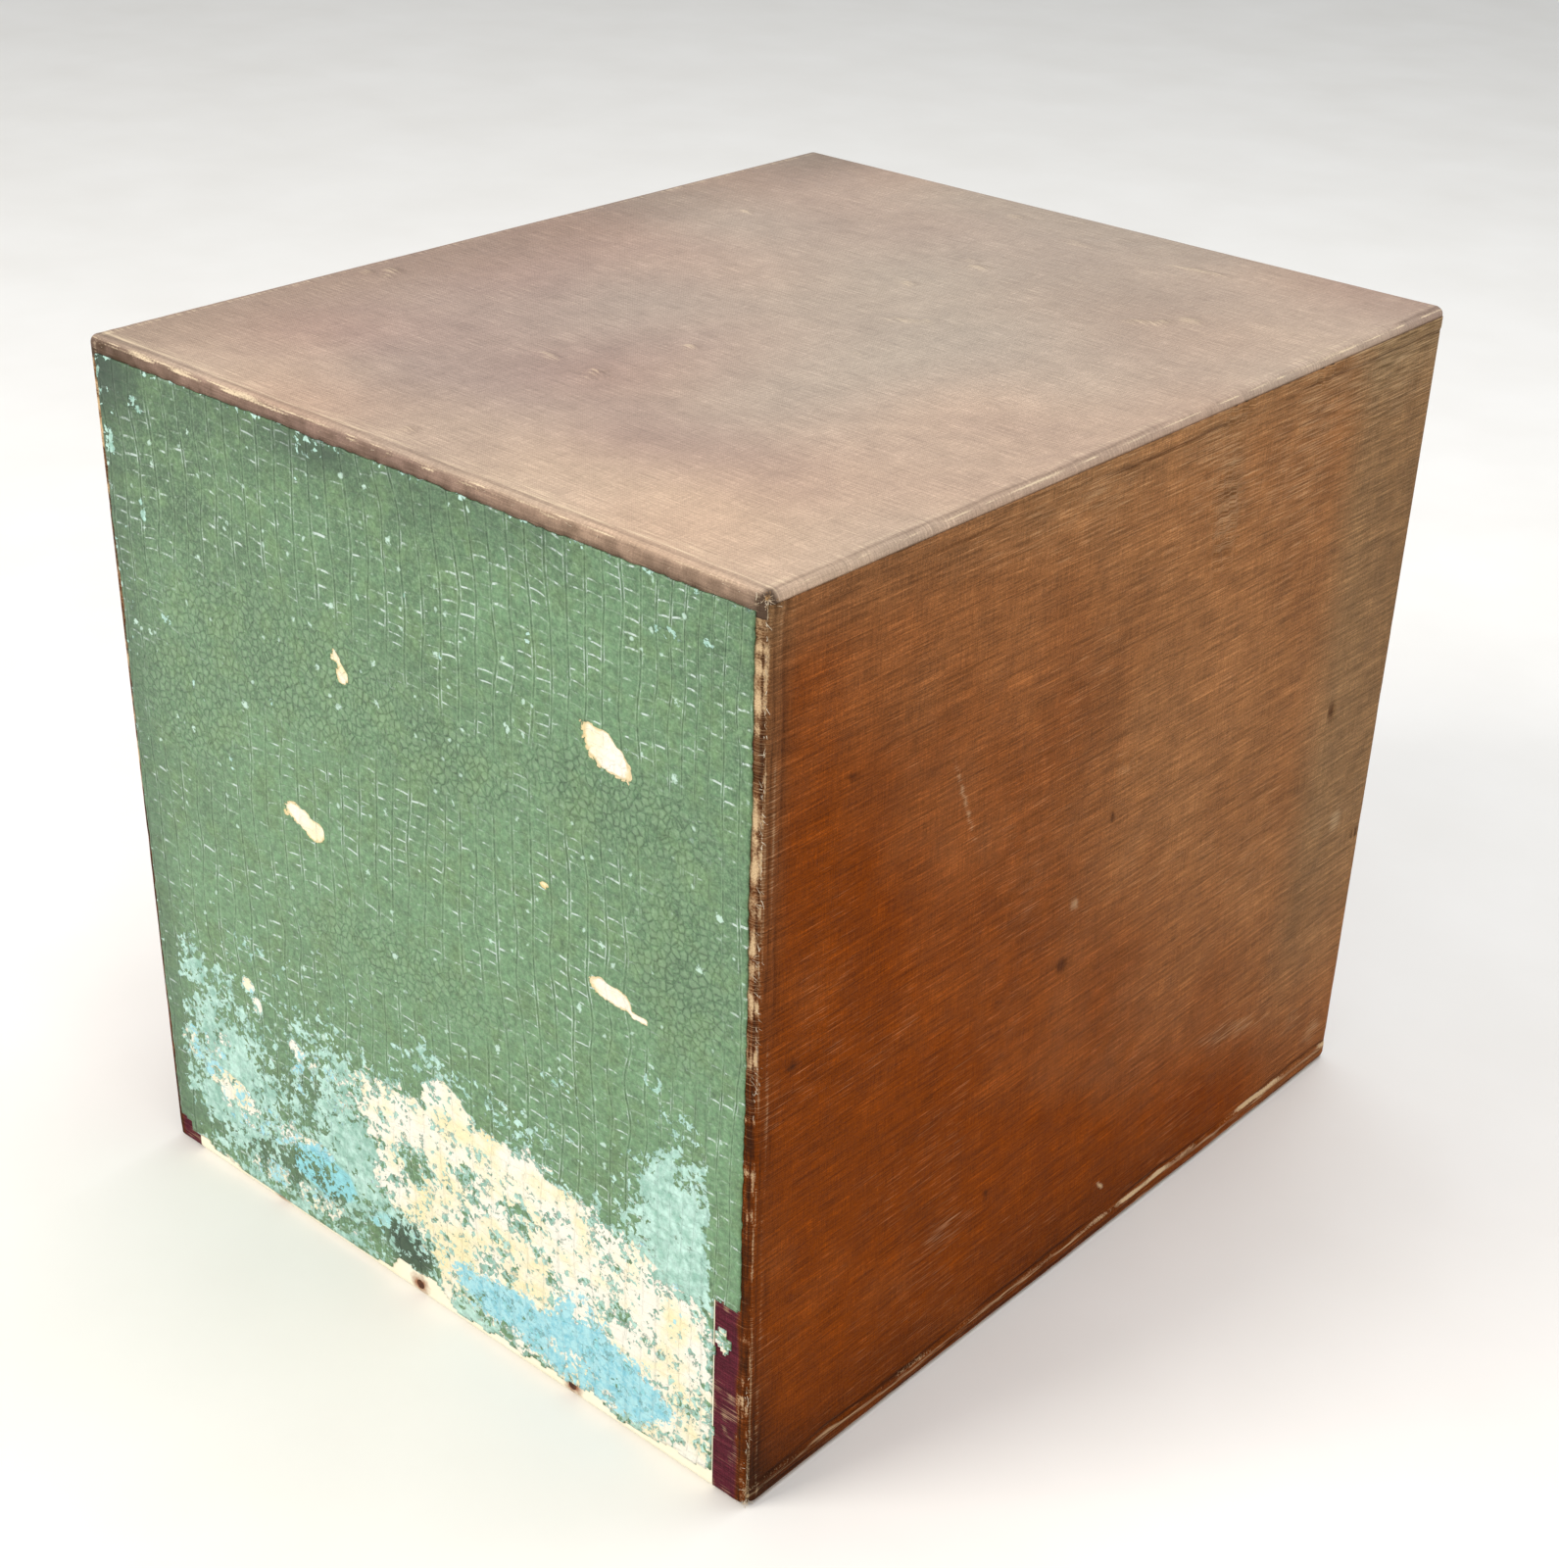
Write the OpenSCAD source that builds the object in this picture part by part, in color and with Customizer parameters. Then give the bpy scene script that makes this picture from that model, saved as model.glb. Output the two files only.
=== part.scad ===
// A wooden storage box covered in bookcloth, lying on one side. Its papered
// base faces -Y and its mouth, with an inset hinged lid, faces +Y. The origin
// is on the ground under the middle of the whole thing.

/* [Outside] */
// Width across the base, along X
box_w = 320; // [240:1:420]
// Depth from the papered base to the rim of the mouth, along Y
box_d = 388; // [280:1:500]
// Height as it lies, along Z
box_h = 344; // [260:1:440]
// Radius of the covered edges
edge_r = 3.2; // [2.4:0.1:5]

/* [Boards] */
// Thickness of the four side boards
side_t = 8; // [6.5:0.5:14]
// Thickness of the base board
base_t = 8; // [6:0.5:14]
// Thickness of the lid board
lid_t = 8; // [6.5:0.5:14]
// Side of the square blocks glued into the inner corners
block_s = 12; // [8:1:20]
// Side of the square strips that the lid closes onto
stop_s = 10; // [6:1:16]

/* [Coverings] */
// Thickness of one layer of bookcloth
cloth_t = 0.7; // [0.4:0.1:1]
// Thickness of the embossed paper on the base
paper_t = 0.5; // [0.3:0.1:1]
// Thickness of the lining paper
lining_t = 0.5; // [0.3:0.1:0.9]
// How far the cloth is turned onto the base
fold_in = 15.5; // [10:0.5:24]
// How far down the sides the rolled edge of the top cloth stays bare
top_roll = 3.6; // [3:0.1:6]
// How far the top cloth is turned down under the side cloths
top_band = 8; // [7:0.5:20]
// How far up the sides the rolled edge of the bottom cloth stays bare
foot_roll = 1.6; // [1.5:0.1:5]
// How far the bottom cloth is turned up under the side cloths
foot_band = 8; // [6:0.5:9]
// How far the cloth is turned into the mouth
rim_in = 25; // [24:0.5:40]
// Bare cloth between the upper edge and the base paper
paper_top = 5.5; // [3:0.5:12]
// Bare cloth between the side edges and the base paper
paper_side = 4; // [3:0.5:12]
// Bare facing between the lower edge and the base paper
paper_foot = 4; // [3:0.5:12]

/* [Lid] */
// Clearance between the lid and the mouth, on every edge
lid_gap = 1.2; // [0.8:0.1:3]
// How far the lid's outside sits below the rim
lid_set = 0.5; // [0.3:0.1:2]
// Radius of the lid's covered edges
lid_edge_r = 2; // [1.2:0.1:3]
// How far the lid's cloth is turned onto its inside
lid_fold = 14; // [8:1:25]
// Clearance between the closed lid and its stop strips
stop_gap = 0.3; // [0.2:0.1:1]

/* [Hinges] */
// Length of each hinge, along X
hinge_l = 50; // [36:1:70]
// From the mouth's side to the near end of each hinge
hinge_in = 34; // [20:1:50]
// Wood and cloth left between a hinge leaf and the lid's inside
leaf_short = 2; // [1:0.5:3]
// Thickness of a hinge leaf
leaf_t = 1.2; // [0.8:0.1:2]
// Clearance between the two closed leaves
leaf_gap = 0.5; // [0.3:0.1:1]
// Radius of the hinge pin
pin_r = 1.2; // [0.8:0.1:1.5]
// Outside radius of the knuckles
knuckle_r = 2.6; // [2.2:0.1:4]
// Clearance between the knuckles and the rim, and between knuckles
knuckle_gap = 0.3; // [0.2:0.05:0.6]
// Radial clearance of the pin in the lid's knuckle
pin_run = 0.05; // [0.02:0.01:0.09]
// Radius of the hinge screws' shanks
screw_r = 1.1; // [0.8:0.1:1.5]
// Radius of the hinge screws' flush heads
screw_head_r = 2.1; // [1.7:0.1:2.5]
// Wood left past the points of the hinge screws
screw_past = 2; // [1:0.5:3]

/* [Ring pull] */
// Clearance between the ring as it hangs and the raised turn button
pull_clear = 16; // [6:1:60]
// Radius of the back plate
plate_r = 11; // [8:0.5:14]
// Thickness of the back plate
plate_t = 1; // [0.6:0.1:2]
// Mean radius of the ring
ring_r = 15; // [12:0.5:22]
// Radius of the ring's wire
wire_r = 1.3; // [1:0.1:2]
// Width of the eye that holds the ring, along X
eye_w = 4; // [3:0.5:6]
// Wall of the eye round its hole
eye_wall = 0.9; // [0.7:0.1:1.5]
// Clearance of the ring's wire in the eye, past the wire's own curve
eye_run = 0.2; // [0.1:0.05:0.4]
// Radius of the two plate pins
plate_pin_r = 0.8; // [0.5:0.1:1.2]
// Length of the plate pins in the lid
plate_pin_l = 5.5; // [4:0.5:6]
// Brass left on the plate outside a pin's head
plate_pin_edge = 1.9; // [1:0.1:3]

/* [Turn button] */
// Length of the button from its pivot to its tip
button_l = 26; // [20:1:36]
// Radius of the button's round ends
button_r = 3.6; // [2.8:0.1:3.8]
// Thickness of the button
button_t = 2; // [1.5:0.1:3]
// Thickness of the washer under the button
washer_t = 0.6; // [0.4:0.1:1]
// Radius of the button screw's shank
pivot_r = 1.4; // [1.1:0.1:1.8]
// Wood left between the point of the button screw and the stop pins
pivot_past = 2; // [1:0.5:4]
// Radial clearance of the button on its screw
pivot_run = 0.06; // [0.02:0.01:0.09]
// Clearance between the button and its screw's head
pivot_lift = 0.1; // [0.05:0.05:0.3]
// Radius of the button screw's domed head
dome_r = 2.8; // [2.4:0.1:3.4]
// Height of the button screw's domed head
dome_h = 1.5; // [1:0.1:2]

/* [Nails] */
// Radius of a nail's shank
nail_r = 0.9; // [0.6:0.1:1.4]
// Radius of a nail's head
nail_head_r = 2; // [1.5:0.1:2.6]
// Thickness of a nail's head
nail_head_t = 0.6; // [0.3:0.1:0.6]
// How far a carcass nail bites into the second board
nail_bite = 16; // [12:1:26]
// How far a stop pin bites into its board
pin_bite = 4; // [3:0.5:5]
// Distance between nails in the base
base_pitch = 83; // [60:1:110]
// Shift of the base's hand-set rows of nails off the middle, along X
base_shift = -8; // [-20:1:20]
// Distance between the other nails and pins
nail_pitch = 90; // [60:1:110]
// Radial clearance of nails and screws in their holes
fix_run = 0.03; // [0.01:0.01:0.1]

/* [Hidden] */
$fn = 48;
cut = 1;
// Both layers of cloth, where a turned edge lies under a side cloth
skin = 2 * cloth_t;
// The eye of the ring pull, wide enough for the curve of the ring's wire
eye_hole_r = wire_r + eye_run + eye_w * eye_w / (8 * ring_r);
eye_r = eye_hole_r + eye_wall;
eye_out = eye_r + eye_run;
// What stands proud of the rim, and so where the box lies along Y
hinge_proud = 2 * knuckle_r + knuckle_gap;
pull_proud = plate_t + eye_out + eye_r - lid_set;
button_proud = washer_t + button_t + pivot_lift + dome_h;
front_y = -(box_d + max(hinge_proud, pull_proud, button_proud)) / 2;
rim_y = front_y + box_d;
cloth_y = front_y + paper_t;
board_y = cloth_y + cloth_t;
floor_y = board_y + base_t;
// Inside faces of the side boards
in_x = box_w / 2 - skin - side_t;
in_z0 = skin + side_t;
in_z1 = box_h - in_z0;
// The mouth, inside its turned-in cloth
mouth_x = in_x - cloth_t;
mouth_z0 = in_z0 + cloth_t;
mouth_z1 = in_z1 - cloth_t;
// The covered lid and its stop strips
lid_x = mouth_x - lid_gap;
lid_z0 = mouth_z0 + lid_gap;
lid_z1 = mouth_z1 - lid_gap;
lid_y1 = rim_y - lid_set;
lid_y0 = lid_y1 - lid_t - skin;
stop_y1 = lid_y0 - stop_gap;
stop_y0 = stop_y1 - stop_s;
// Lining papers lie between the corner blocks
lining_y0 = floor_y + lining_t;
lining_y1 = rim_y - rim_in;
lining_x = in_x - block_s;
lining_z0 = in_z0 + block_s;
lining_z1 = in_z1 - block_s;
// Hinges
axis_y = rim_y + knuckle_r + knuckle_gap;
axis_z = mouth_z1 - lid_gap / 2;
leaf_y = lid_y0 + leaf_short;
leaf_low = leaf_gap / 2;
leaf_high = leaf_low + leaf_t;
knuckle_l = hinge_l / 3;
hinge_starts = [-mouth_x + hinge_in, mouth_x - hinge_in - hinge_l];
screw_spots = [for (x = hinge_starts, i = [0 : 2]) x + knuckle_l * (i + 0.5)];
screw_y = (leaf_y + rim_y) / 2;
screw_l = in_z1 + side_t - axis_z - leaf_low - screw_past;
// Turn button and ring pull
button_z = mouth_z0 / 2;
button_y = rim_y + washer_t;
pivot_l = rim_y - (stop_y0 + stop_y1) / 2 - nail_r - pivot_past;
ring_y = lid_y1 + plate_t + eye_out;
ring_z = button_z + button_l + pull_clear + 2 * ring_r + wire_r;
plate_pin_x = plate_r - plate_pin_edge - 2 * plate_pin_r;

// Colours
bare_wood = "burlywood";
brown_cloth = [0.46, 0.26, 0.16];
faded_cloth = [0.58, 0.47, 0.40];
green_paper = [0.22, 0.36, 0.27];
lining_paper = [0.80, 0.74, 0.62];
cream = [0.87, 0.84, 0.76];
brass = [0.76, 0.62, 0.30];
iron = [0.35, 0.30, 0.28];

// ---- Shared shapes ----

// A box from corner a to corner b
module span(a, b) {
    translate(a) cube(b - a);
}

// Its mirror image in the plane x = 0 when side is -1
module on_side(side) {
    if (side < 0) mirror([1, 0, 0]) children();
    else children();
}

// A rectangle from corner a to corner b with round corners
module round_rect(a, b, r) {
    translate([a[0] + r, a[1]]) square([b[0] - a[0] - 2 * r, b[1] - a[1]]);
    translate([a[0], a[1] + r]) square([b[0] - a[0], b[1] - a[1] - 2 * r]);
    for (x = [a[0] + r, b[0] - r], y = [a[1] + r, b[1] - r])
        translate([x, y]) circle(r = r);
}

// A box from corner a to corner b with all its edges round
module round_box(a, b, r) {
    intersection() {
        translate([0, 0, a[2]]) linear_extrude(b[2] - a[2])
            round_rect([a[0], a[1]], [b[0], b[1]], r);
        translate([0, b[1], 0]) rotate([90, 0, 0]) linear_extrude(b[1] - a[1])
            round_rect([a[0], a[2]], [b[0], b[2]], r);
        translate([a[0], 0, 0]) rotate([90, 0, 90]) linear_extrude(b[0] - a[0])
            round_rect([a[1], a[2]], [b[1], b[2]], r);
    }
}

// The outside of the cloth
module covered_outside() {
    round_box([-box_w / 2, cloth_y, 0], [box_w / 2, rim_y, box_h], edge_r);
}

// The outside of the boards
module board_outside() {
    round_box([-box_w / 2 + skin, board_y, skin],
              [box_w / 2 - skin, rim_y - cloth_t, box_h - skin], edge_r - skin);
}

// A nail along -Z with its head's top at the origin
module nail(length, run = 0) {
    translate([0, 0, -nail_head_t - run]) cylinder(r = nail_head_r + run, h = nail_head_t + run);
    translate([0, 0, -length - run]) cylinder(r = nail_r + run, h = length + run);
}

// A flush-headed screw along -Z with its head's top at the origin
module flush_screw(run = 0) {
    head_h = screw_head_r - screw_r;
    translate([0, 0, -head_h]) cylinder(r1 = screw_r + run, r2 = screw_head_r + run, h = head_h);
    translate([0, 0, -screw_l - run]) cylinder(r = screw_r + run, h = screw_l + run);
}

// Places a pitch apart, as many as fit between a and b, even about the middle
function row(a, b, pitch) =
    let (count = floor((b - a) / pitch), start = (a + b - count * pitch) / 2)
    [for (i = [0 : count]) start + i * pitch];

// ---- Nails, also cut from the boards with their clearance ----

// Down through the top board and up through the bottom board into the sides
module side_nail_set(run = 0) {
    edge_x = in_x + side_t / 2;
    for (x = [-edge_x, edge_x], y = row(floor_y + 2 * nail_bite, stop_y0 - nail_bite, nail_pitch)) {
        translate([x, y, box_h - skin]) nail(side_t + nail_bite, run);
        translate([x, y, skin]) mirror([0, 0, 1]) nail(side_t + nail_bite, run);
    }
}

// Through the base board into the ends of the four side boards. The lowest
// row goes through the facing too, and its heads show
module base_nail_set(run = 0) {
    low_z = skin + side_t / 2;
    edge_x = in_x + side_t / 2;
    for (x = row(-in_x + 2 * nail_bite, in_x - 2 * nail_bite, base_pitch)) {
        translate([x + base_shift, cloth_y, low_z])
            rotate([90, 0, 0]) nail(cloth_t + base_t + nail_bite, run);
        translate([x + base_shift, board_y, box_h - low_z])
            rotate([90, 0, 0]) nail(base_t + nail_bite, run);
    }
    for (z = row(in_z0 + 2 * nail_bite, in_z1 - 2 * nail_bite, base_pitch), x = [-edge_x, edge_x])
        translate([x, board_y, z]) rotate([90, 0, 0]) nail(base_t + nail_bite, run);
}

// Through the stop strips and the turned-in cloth into the side boards
module stop_pin_set(run = 0) {
    y = (stop_y0 + stop_y1) / 2;
    length = stop_s + cloth_t + pin_bite;
    for (x = row(-mouth_x + stop_s + nail_bite, mouth_x - stop_s - nail_bite, nail_pitch)) {
        translate([x, y, mouth_z1 - stop_s]) mirror([0, 0, 1]) nail(length, run);
        translate([x, y, mouth_z0 + stop_s]) nail(length, run);
    }
    for (z = row(mouth_z0 + 2 * nail_bite, mouth_z1 - 2 * nail_bite, nail_pitch), side = [-1, 1])
        on_side(side) translate([mouth_x - stop_s, y, z]) rotate([0, -90, 0]) nail(length, run);
}

module side_nails() { color(iron) side_nail_set(); }
module base_nails() { color(iron) base_nail_set(); }
module stop_pins() { color(iron) stop_pin_set(); }

// ---- Boards ----

// The seats of the hinge leaves, in the box and in the lid's top edge
module box_leaf_seats() {
    for (x = hinge_starts)
        span([x - fix_run, leaf_y - fix_run, axis_z],
             [x + hinge_l + fix_run, rim_y + cut, axis_z + leaf_high + fix_run]);
}

module lid_leaf_seats() {
    for (x = hinge_starts)
        span([x - fix_run, leaf_y - fix_run, axis_z - leaf_high - fix_run],
             [x + hinge_l + fix_run, rim_y + cut, axis_z]);
}

// The part of the boards between two corners, with its nail holes
module carcass_part(a, b) {
    difference() {
        intersection() {
            board_outside();
            span(a, b);
        }
        side_nail_set(fix_run);
        base_nail_set(fix_run);
        stop_pin_set(fix_run);
    }
}

module top_board() {
    color(bare_wood) difference() {
        carcass_part([-box_w, floor_y, in_z1], [box_w, rim_y, box_h]);
        box_leaf_seats();
        box_screw_set(fix_run);
    }
}

module bottom_board() {
    color(bare_wood) difference() {
        carcass_part([-box_w, floor_y, 0], [box_w, rim_y, in_z0]);
        pivot_hole();
    }
}

module left_board() {
    color(bare_wood) carcass_part([-box_w, floor_y, in_z0], [-in_x, rim_y, in_z1]);
}

module right_board() {
    color(bare_wood) carcass_part([in_x, floor_y, in_z0], [box_w, rim_y, in_z1]);
}

module base_board() {
    color(bare_wood) carcass_part([-box_w, front_y, 0], [box_w, floor_y, box_h]);
}

module corner_blocks() {
    color(bare_wood) for (x = [-in_x, in_x - block_s], z = [in_z0, in_z1 - block_s])
        span([x, floor_y, z], [x + block_s, rim_y - rim_in, z + block_s]);
}

// ---- Strips that the lid closes onto ----

module stop_strip(a, b) {
    difference() {
        span(a, b);
        stop_pin_set(fix_run);
    }
}

module stop_top() {
    color(bare_wood)
        stop_strip([-mouth_x, stop_y0, mouth_z1 - stop_s], [mouth_x, stop_y1, mouth_z1]);
}

module stop_bottom() {
    color(bare_wood)
        stop_strip([-mouth_x, stop_y0, mouth_z0], [mouth_x, stop_y1, mouth_z0 + stop_s]);
}

module stop_left() {
    color(bare_wood) stop_strip([-mouth_x, stop_y0, mouth_z0 + stop_s],
                                [stop_s - mouth_x, stop_y1, mouth_z1 - stop_s]);
}

module stop_right() {
    color(bare_wood) stop_strip([mouth_x - stop_s, stop_y0, mouth_z0 + stop_s],
                                [mouth_x, stop_y1, mouth_z1 - stop_s]);
}

// ---- Cloth ----

// Everything between the outside of the cloth and the boards, with the cloth
// turned into the mouth and the opening through it
module cloth_layer() {
    difference() {
        union() {
            difference() {
                covered_outside();
                board_outside();
            }
            span([-in_x, rim_y - rim_in, in_z0], [in_x, rim_y - cloth_t, in_z1]);
        }
        span([-mouth_x, rim_y - rim_in - cut, mouth_z0], [mouth_x, rim_y + cut, mouth_z1]);
        facing_zone();
        stop_pin_set(fix_run);
    }
}

// Where the facing lies on the base, down round its lower edge
module facing_zone() {
    span([-box_w / 2 + fold_in, front_y, -cut],
         [box_w / 2 - fold_in, cloth_y + edge_r, box_h - fold_in]);
}

// What belongs to the cloth on top: its face and rolled edge, the bands turned
// down the sides, its edge on the base and its edge in the mouth
module edge_zone(roll, band) {
    span([-box_w, front_y, box_h - roll], [box_w, rim_y + cut, box_h + cut]);
    for (side = [-1, 1]) on_side(side)
        span([in_x, front_y, box_h - band], [box_w / 2 - cloth_t, 0, box_h]);
    span([cloth_t - box_w / 2, rim_y - rim_in, mouth_z1],
         [box_w / 2 - cloth_t, rim_y + cut, box_h]);
}

module top_zone() {
    edge_zone(top_roll, top_band);
    span([cloth_t - box_w / 2, front_y, box_h - fold_in], [box_w / 2 - cloth_t, floor_y, box_h]);
}

module bottom_zone() {
    translate([0, 0, box_h]) mirror([0, 0, 1]) edge_zone(foot_roll, foot_band);
}

module top_cloth() {
    color(faded_cloth) difference() {
        intersection() {
            cloth_layer();
            top_zone();
        }
        box_leaf_seats();
        box_screw_set(fix_run);
    }
}

module bottom_cloth() {
    color(brown_cloth) difference() {
        intersection() {
            cloth_layer();
            bottom_zone();
        }
        pivot_hole();
    }
}

// The cloth on the right side; the left one is its mirror image
module side_cloth() {
    difference() {
        intersection() {
            cloth_layer();
            span([0, front_y, -cut], [box_w, rim_y + cut, box_h + cut]);
        }
        top_zone();
        bottom_zone();
    }
}

module right_cloth() { color(brown_cloth) side_cloth(); }
module left_cloth() { color(brown_cloth) mirror([1, 0, 0]) side_cloth(); }

// ---- Papers ----

module base_facing() {
    color(cream) difference() {
        intersection() {
            covered_outside();
            facing_zone();
        }
        board_outside();
        base_nail_set(fix_run);
    }
}

module base_paper() {
    color(green_paper) span([paper_side - box_w / 2, front_y, paper_foot],
                            [box_w / 2 - paper_side, cloth_y, box_h - paper_top]);
}

module lining_top() {
    color(lining_paper)
        span([-lining_x, lining_y0, in_z1 - lining_t], [lining_x, lining_y1, in_z1]);
}

module lining_bottom() {
    color(lining_paper)
        span([-lining_x, lining_y0, in_z0], [lining_x, lining_y1, in_z0 + lining_t]);
}

module lining_left() {
    color(lining_paper)
        span([-in_x, lining_y0, lining_z0], [lining_t - in_x, lining_y1, lining_z1]);
}

module lining_right() {
    color(lining_paper)
        span([in_x - lining_t, lining_y0, lining_z0], [in_x, lining_y1, lining_z1]);
}

module lining_base() {
    color(lining_paper) {
        span([-lining_x, floor_y, in_z0], [lining_x, lining_y0, in_z1]);
        span([-in_x, floor_y, lining_z0], [in_x, lining_y0, lining_z1]);
    }
}

// ---- Lid ----

// The outside of the lid, brought in by inset
module lid_outside(inset = 0) {
    round_box([inset - lid_x, lid_y0 + inset, lid_z0 + inset],
              [lid_x - inset, lid_y1 - inset, lid_z1 - inset], lid_edge_r - inset);
}

// The middle of the lid's inside, which its cloth leaves bare
module lid_lining_zone(depth) {
    span([lid_fold - lid_x, lid_y0 + cloth_t - depth, lid_z0 + lid_fold],
         [lid_x - lid_fold, lid_y0 + cloth_t, lid_z1 - lid_fold]);
}

module lid_board() {
    color(bare_wood) difference() {
        lid_outside(cloth_t);
        lid_leaf_seats();
        lid_screw_set(fix_run);
        plate_pin_set(fix_run);
    }
}

module lid_cloth() {
    color(brown_cloth) difference() {
        lid_outside();
        lid_outside(cloth_t);
        lid_lining_zone(cloth_t + cut);
        lid_leaf_seats();
        lid_screw_set(fix_run);
        plate_pin_set(fix_run);
    }
}

module lid_lining() { color(lining_paper) lid_lining_zone(lining_t); }

// ---- Hinges ----

// A bar along the hinge axis from x = a to x = b
module axis_bar(a, b, r) {
    translate([a, axis_y, axis_z]) rotate([0, 90, 0]) cylinder(r = r, h = b - a);
}

module box_screw_set(run = 0) {
    for (x = screw_spots)
        translate([x, screw_y, axis_z + leaf_low]) mirror([0, 0, 1]) flush_screw(run);
}

module lid_screw_set(run = 0) {
    for (x = screw_spots)
        translate([x, screw_y, axis_z - leaf_low]) flush_screw(run);
}

// The leaf on the box carries the two outer knuckles
module hinge_box_leaves() {
    color(brass) difference() {
        for (x = hinge_starts) {
            difference() {
                span([x, leaf_y, axis_z + leaf_low], [x + hinge_l, axis_y, axis_z + leaf_high]);
                axis_bar(x + knuckle_l - knuckle_gap, x + 2 * knuckle_l + knuckle_gap,
                         knuckle_r + knuckle_gap);
            }
            axis_bar(x, x + knuckle_l - knuckle_gap, knuckle_r);
            axis_bar(x + 2 * knuckle_l + knuckle_gap, x + hinge_l, knuckle_r);
        }
        axis_bar(-box_w, box_w, pin_r + fix_run);
        box_screw_set(fix_run);
    }
}

// The leaf on the lid carries the middle knuckle
module hinge_lid_leaves() {
    color(brass) difference() {
        for (x = hinge_starts) {
            difference() {
                span([x, leaf_y, axis_z - leaf_high], [x + hinge_l, axis_y, axis_z - leaf_low]);
                axis_bar(x - cut, x + knuckle_l, knuckle_r + knuckle_gap);
                axis_bar(x + 2 * knuckle_l, x + hinge_l + cut, knuckle_r + knuckle_gap);
            }
            axis_bar(x + knuckle_l, x + 2 * knuckle_l, knuckle_r);
        }
        axis_bar(-box_w, box_w, pin_r + pin_run);
        lid_screw_set(fix_run);
    }
}

module hinge_pins() {
    color(brass) for (x = hinge_starts)
        axis_bar(x, x + hinge_l, pin_r);
}

module hinge_box_screws() { color(brass) box_screw_set(); }
module hinge_lid_screws() { color(brass) lid_screw_set(); }

// ---- Turn button, on the lower rim ----

module pivot_hole() {
    translate([0, rim_y + cut, button_z]) rotate([90, 0, 0])
        cylinder(r = pivot_r + fix_run, h = pivot_l + fix_run + cut);
}

module button_washer() {
    color(brass) translate([0, button_y, button_z]) rotate([90, 0, 0]) difference() {
        cylinder(r = button_r, h = washer_t);
        translate([0, 0, -cut]) cylinder(r = pivot_r + fix_run, h = washer_t + 2 * cut);
    }
}

module turn_button() {
    tip_x = button_l - button_r;
    color(brass) translate([0, button_y + button_t, button_z]) rotate([90, 0, 0]) difference() {
        union() {
            cylinder(r = button_r, h = button_t);
            translate([tip_x, 0, 0]) cylinder(r = button_r, h = button_t);
            translate([0, -button_r, 0]) cube([tip_x, 2 * button_r, button_t]);
        }
        translate([0, 0, -cut]) cylinder(r = pivot_r + pivot_run, h = button_t + 2 * cut);
    }
}

// A round-headed screw with a slot across its dome
module button_screw() {
    ball_r = (dome_r * dome_r + dome_h * dome_h) / (2 * dome_h);
    slot_w = dome_r / 4;
    head_y = button_y + button_t + pivot_lift;
    color(brass) translate([0, head_y, button_z]) rotate([-90, 0, 0]) difference() {
        union() {
            intersection() {
                translate([0, 0, dome_h - ball_r]) sphere(r = ball_r);
                cylinder(r = dome_r + cut, h = dome_h + cut);
            }
            translate([0, 0, rim_y - head_y - pivot_l])
                cylinder(r = pivot_r, h = head_y - rim_y + pivot_l);
        }
        translate([-slot_w / 2, -dome_r - cut, dome_h / 2]) cube([slot_w, 2 * dome_r + 2 * cut, dome_h]);
    }
}

// ---- Ring pull, on the lid ----

module plate_pin_set(run = 0) {
    for (x = [-plate_pin_x, plate_pin_x])
        translate([x, lid_y1 + plate_t, ring_z]) rotate([-90, 0, 0]) {
            translate([0, 0, -plate_t - plate_pin_l - run])
                cylinder(r = plate_pin_r + run, h = plate_t + plate_pin_l + run);
            cylinder(r1 = 2 * plate_pin_r, r2 = plate_pin_r, h = plate_pin_r);
        }
}

module plate_pins() { color(brass) plate_pin_set(); }

module pull_plate() {
    color(brass) difference() {
        union() {
            translate([0, lid_y1 + plate_t, ring_z]) rotate([90, 0, 0]) cylinder(r = plate_r, h = plate_t);
            span([-eye_w / 2, lid_y1, ring_z - eye_r], [eye_w / 2, ring_y, ring_z + eye_r]);
            translate([-eye_w / 2, ring_y, ring_z]) rotate([0, 90, 0]) cylinder(r = eye_r, h = eye_w);
        }
        translate([-eye_w, ring_y, ring_z]) rotate([0, 90, 0]) cylinder(r = eye_hole_r, h = 2 * eye_w);
        plate_pin_set(fix_run);
    }
}

module pull_ring() {
    color(brass) translate([0, ring_y, ring_z - ring_r]) rotate([90, 0, 0])
        rotate_extrude() translate([ring_r, 0]) circle(r = wire_r);
}

top_board();
bottom_board();
left_board();
right_board();
base_board();
corner_blocks();
side_nails();
base_nails();
stop_top();
stop_bottom();
stop_left();
stop_right();
stop_pins();
top_cloth();
bottom_cloth();
left_cloth();
right_cloth();
base_facing();
base_paper();
lining_top();
lining_bottom();
lining_left();
lining_right();
lining_base();
hinge_box_leaves();
hinge_pins();
hinge_box_screws();
button_washer();
button_screw();
turn_button();
lid_board();
lid_cloth();
lid_lining();
hinge_lid_leaves();
hinge_lid_screws();
pull_plate();
plate_pins();
pull_ring();
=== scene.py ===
# %% [markdown]
# # A cloth-covered wooden box, lying on its side
#
# The real object is a hat-box sized case of thin boards. Brown bookcloth is glued over its sides,
# dark green embossed paper over its base, and its lid is let into the mouth at the back. It has
# been used hard: the top has faded, the edges are rubbed pale and the lower part of the green paper
# has come away down to its white ground and to the cream facing under it.
#
# The boards, the lid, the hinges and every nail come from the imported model. Here the outer
# coverings are made again, finer, and everything gets its finish.

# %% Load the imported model
from functools import partial

import bmesh
import bpy
import numpy as np
from mathutils import Matrix, Vector


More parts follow.
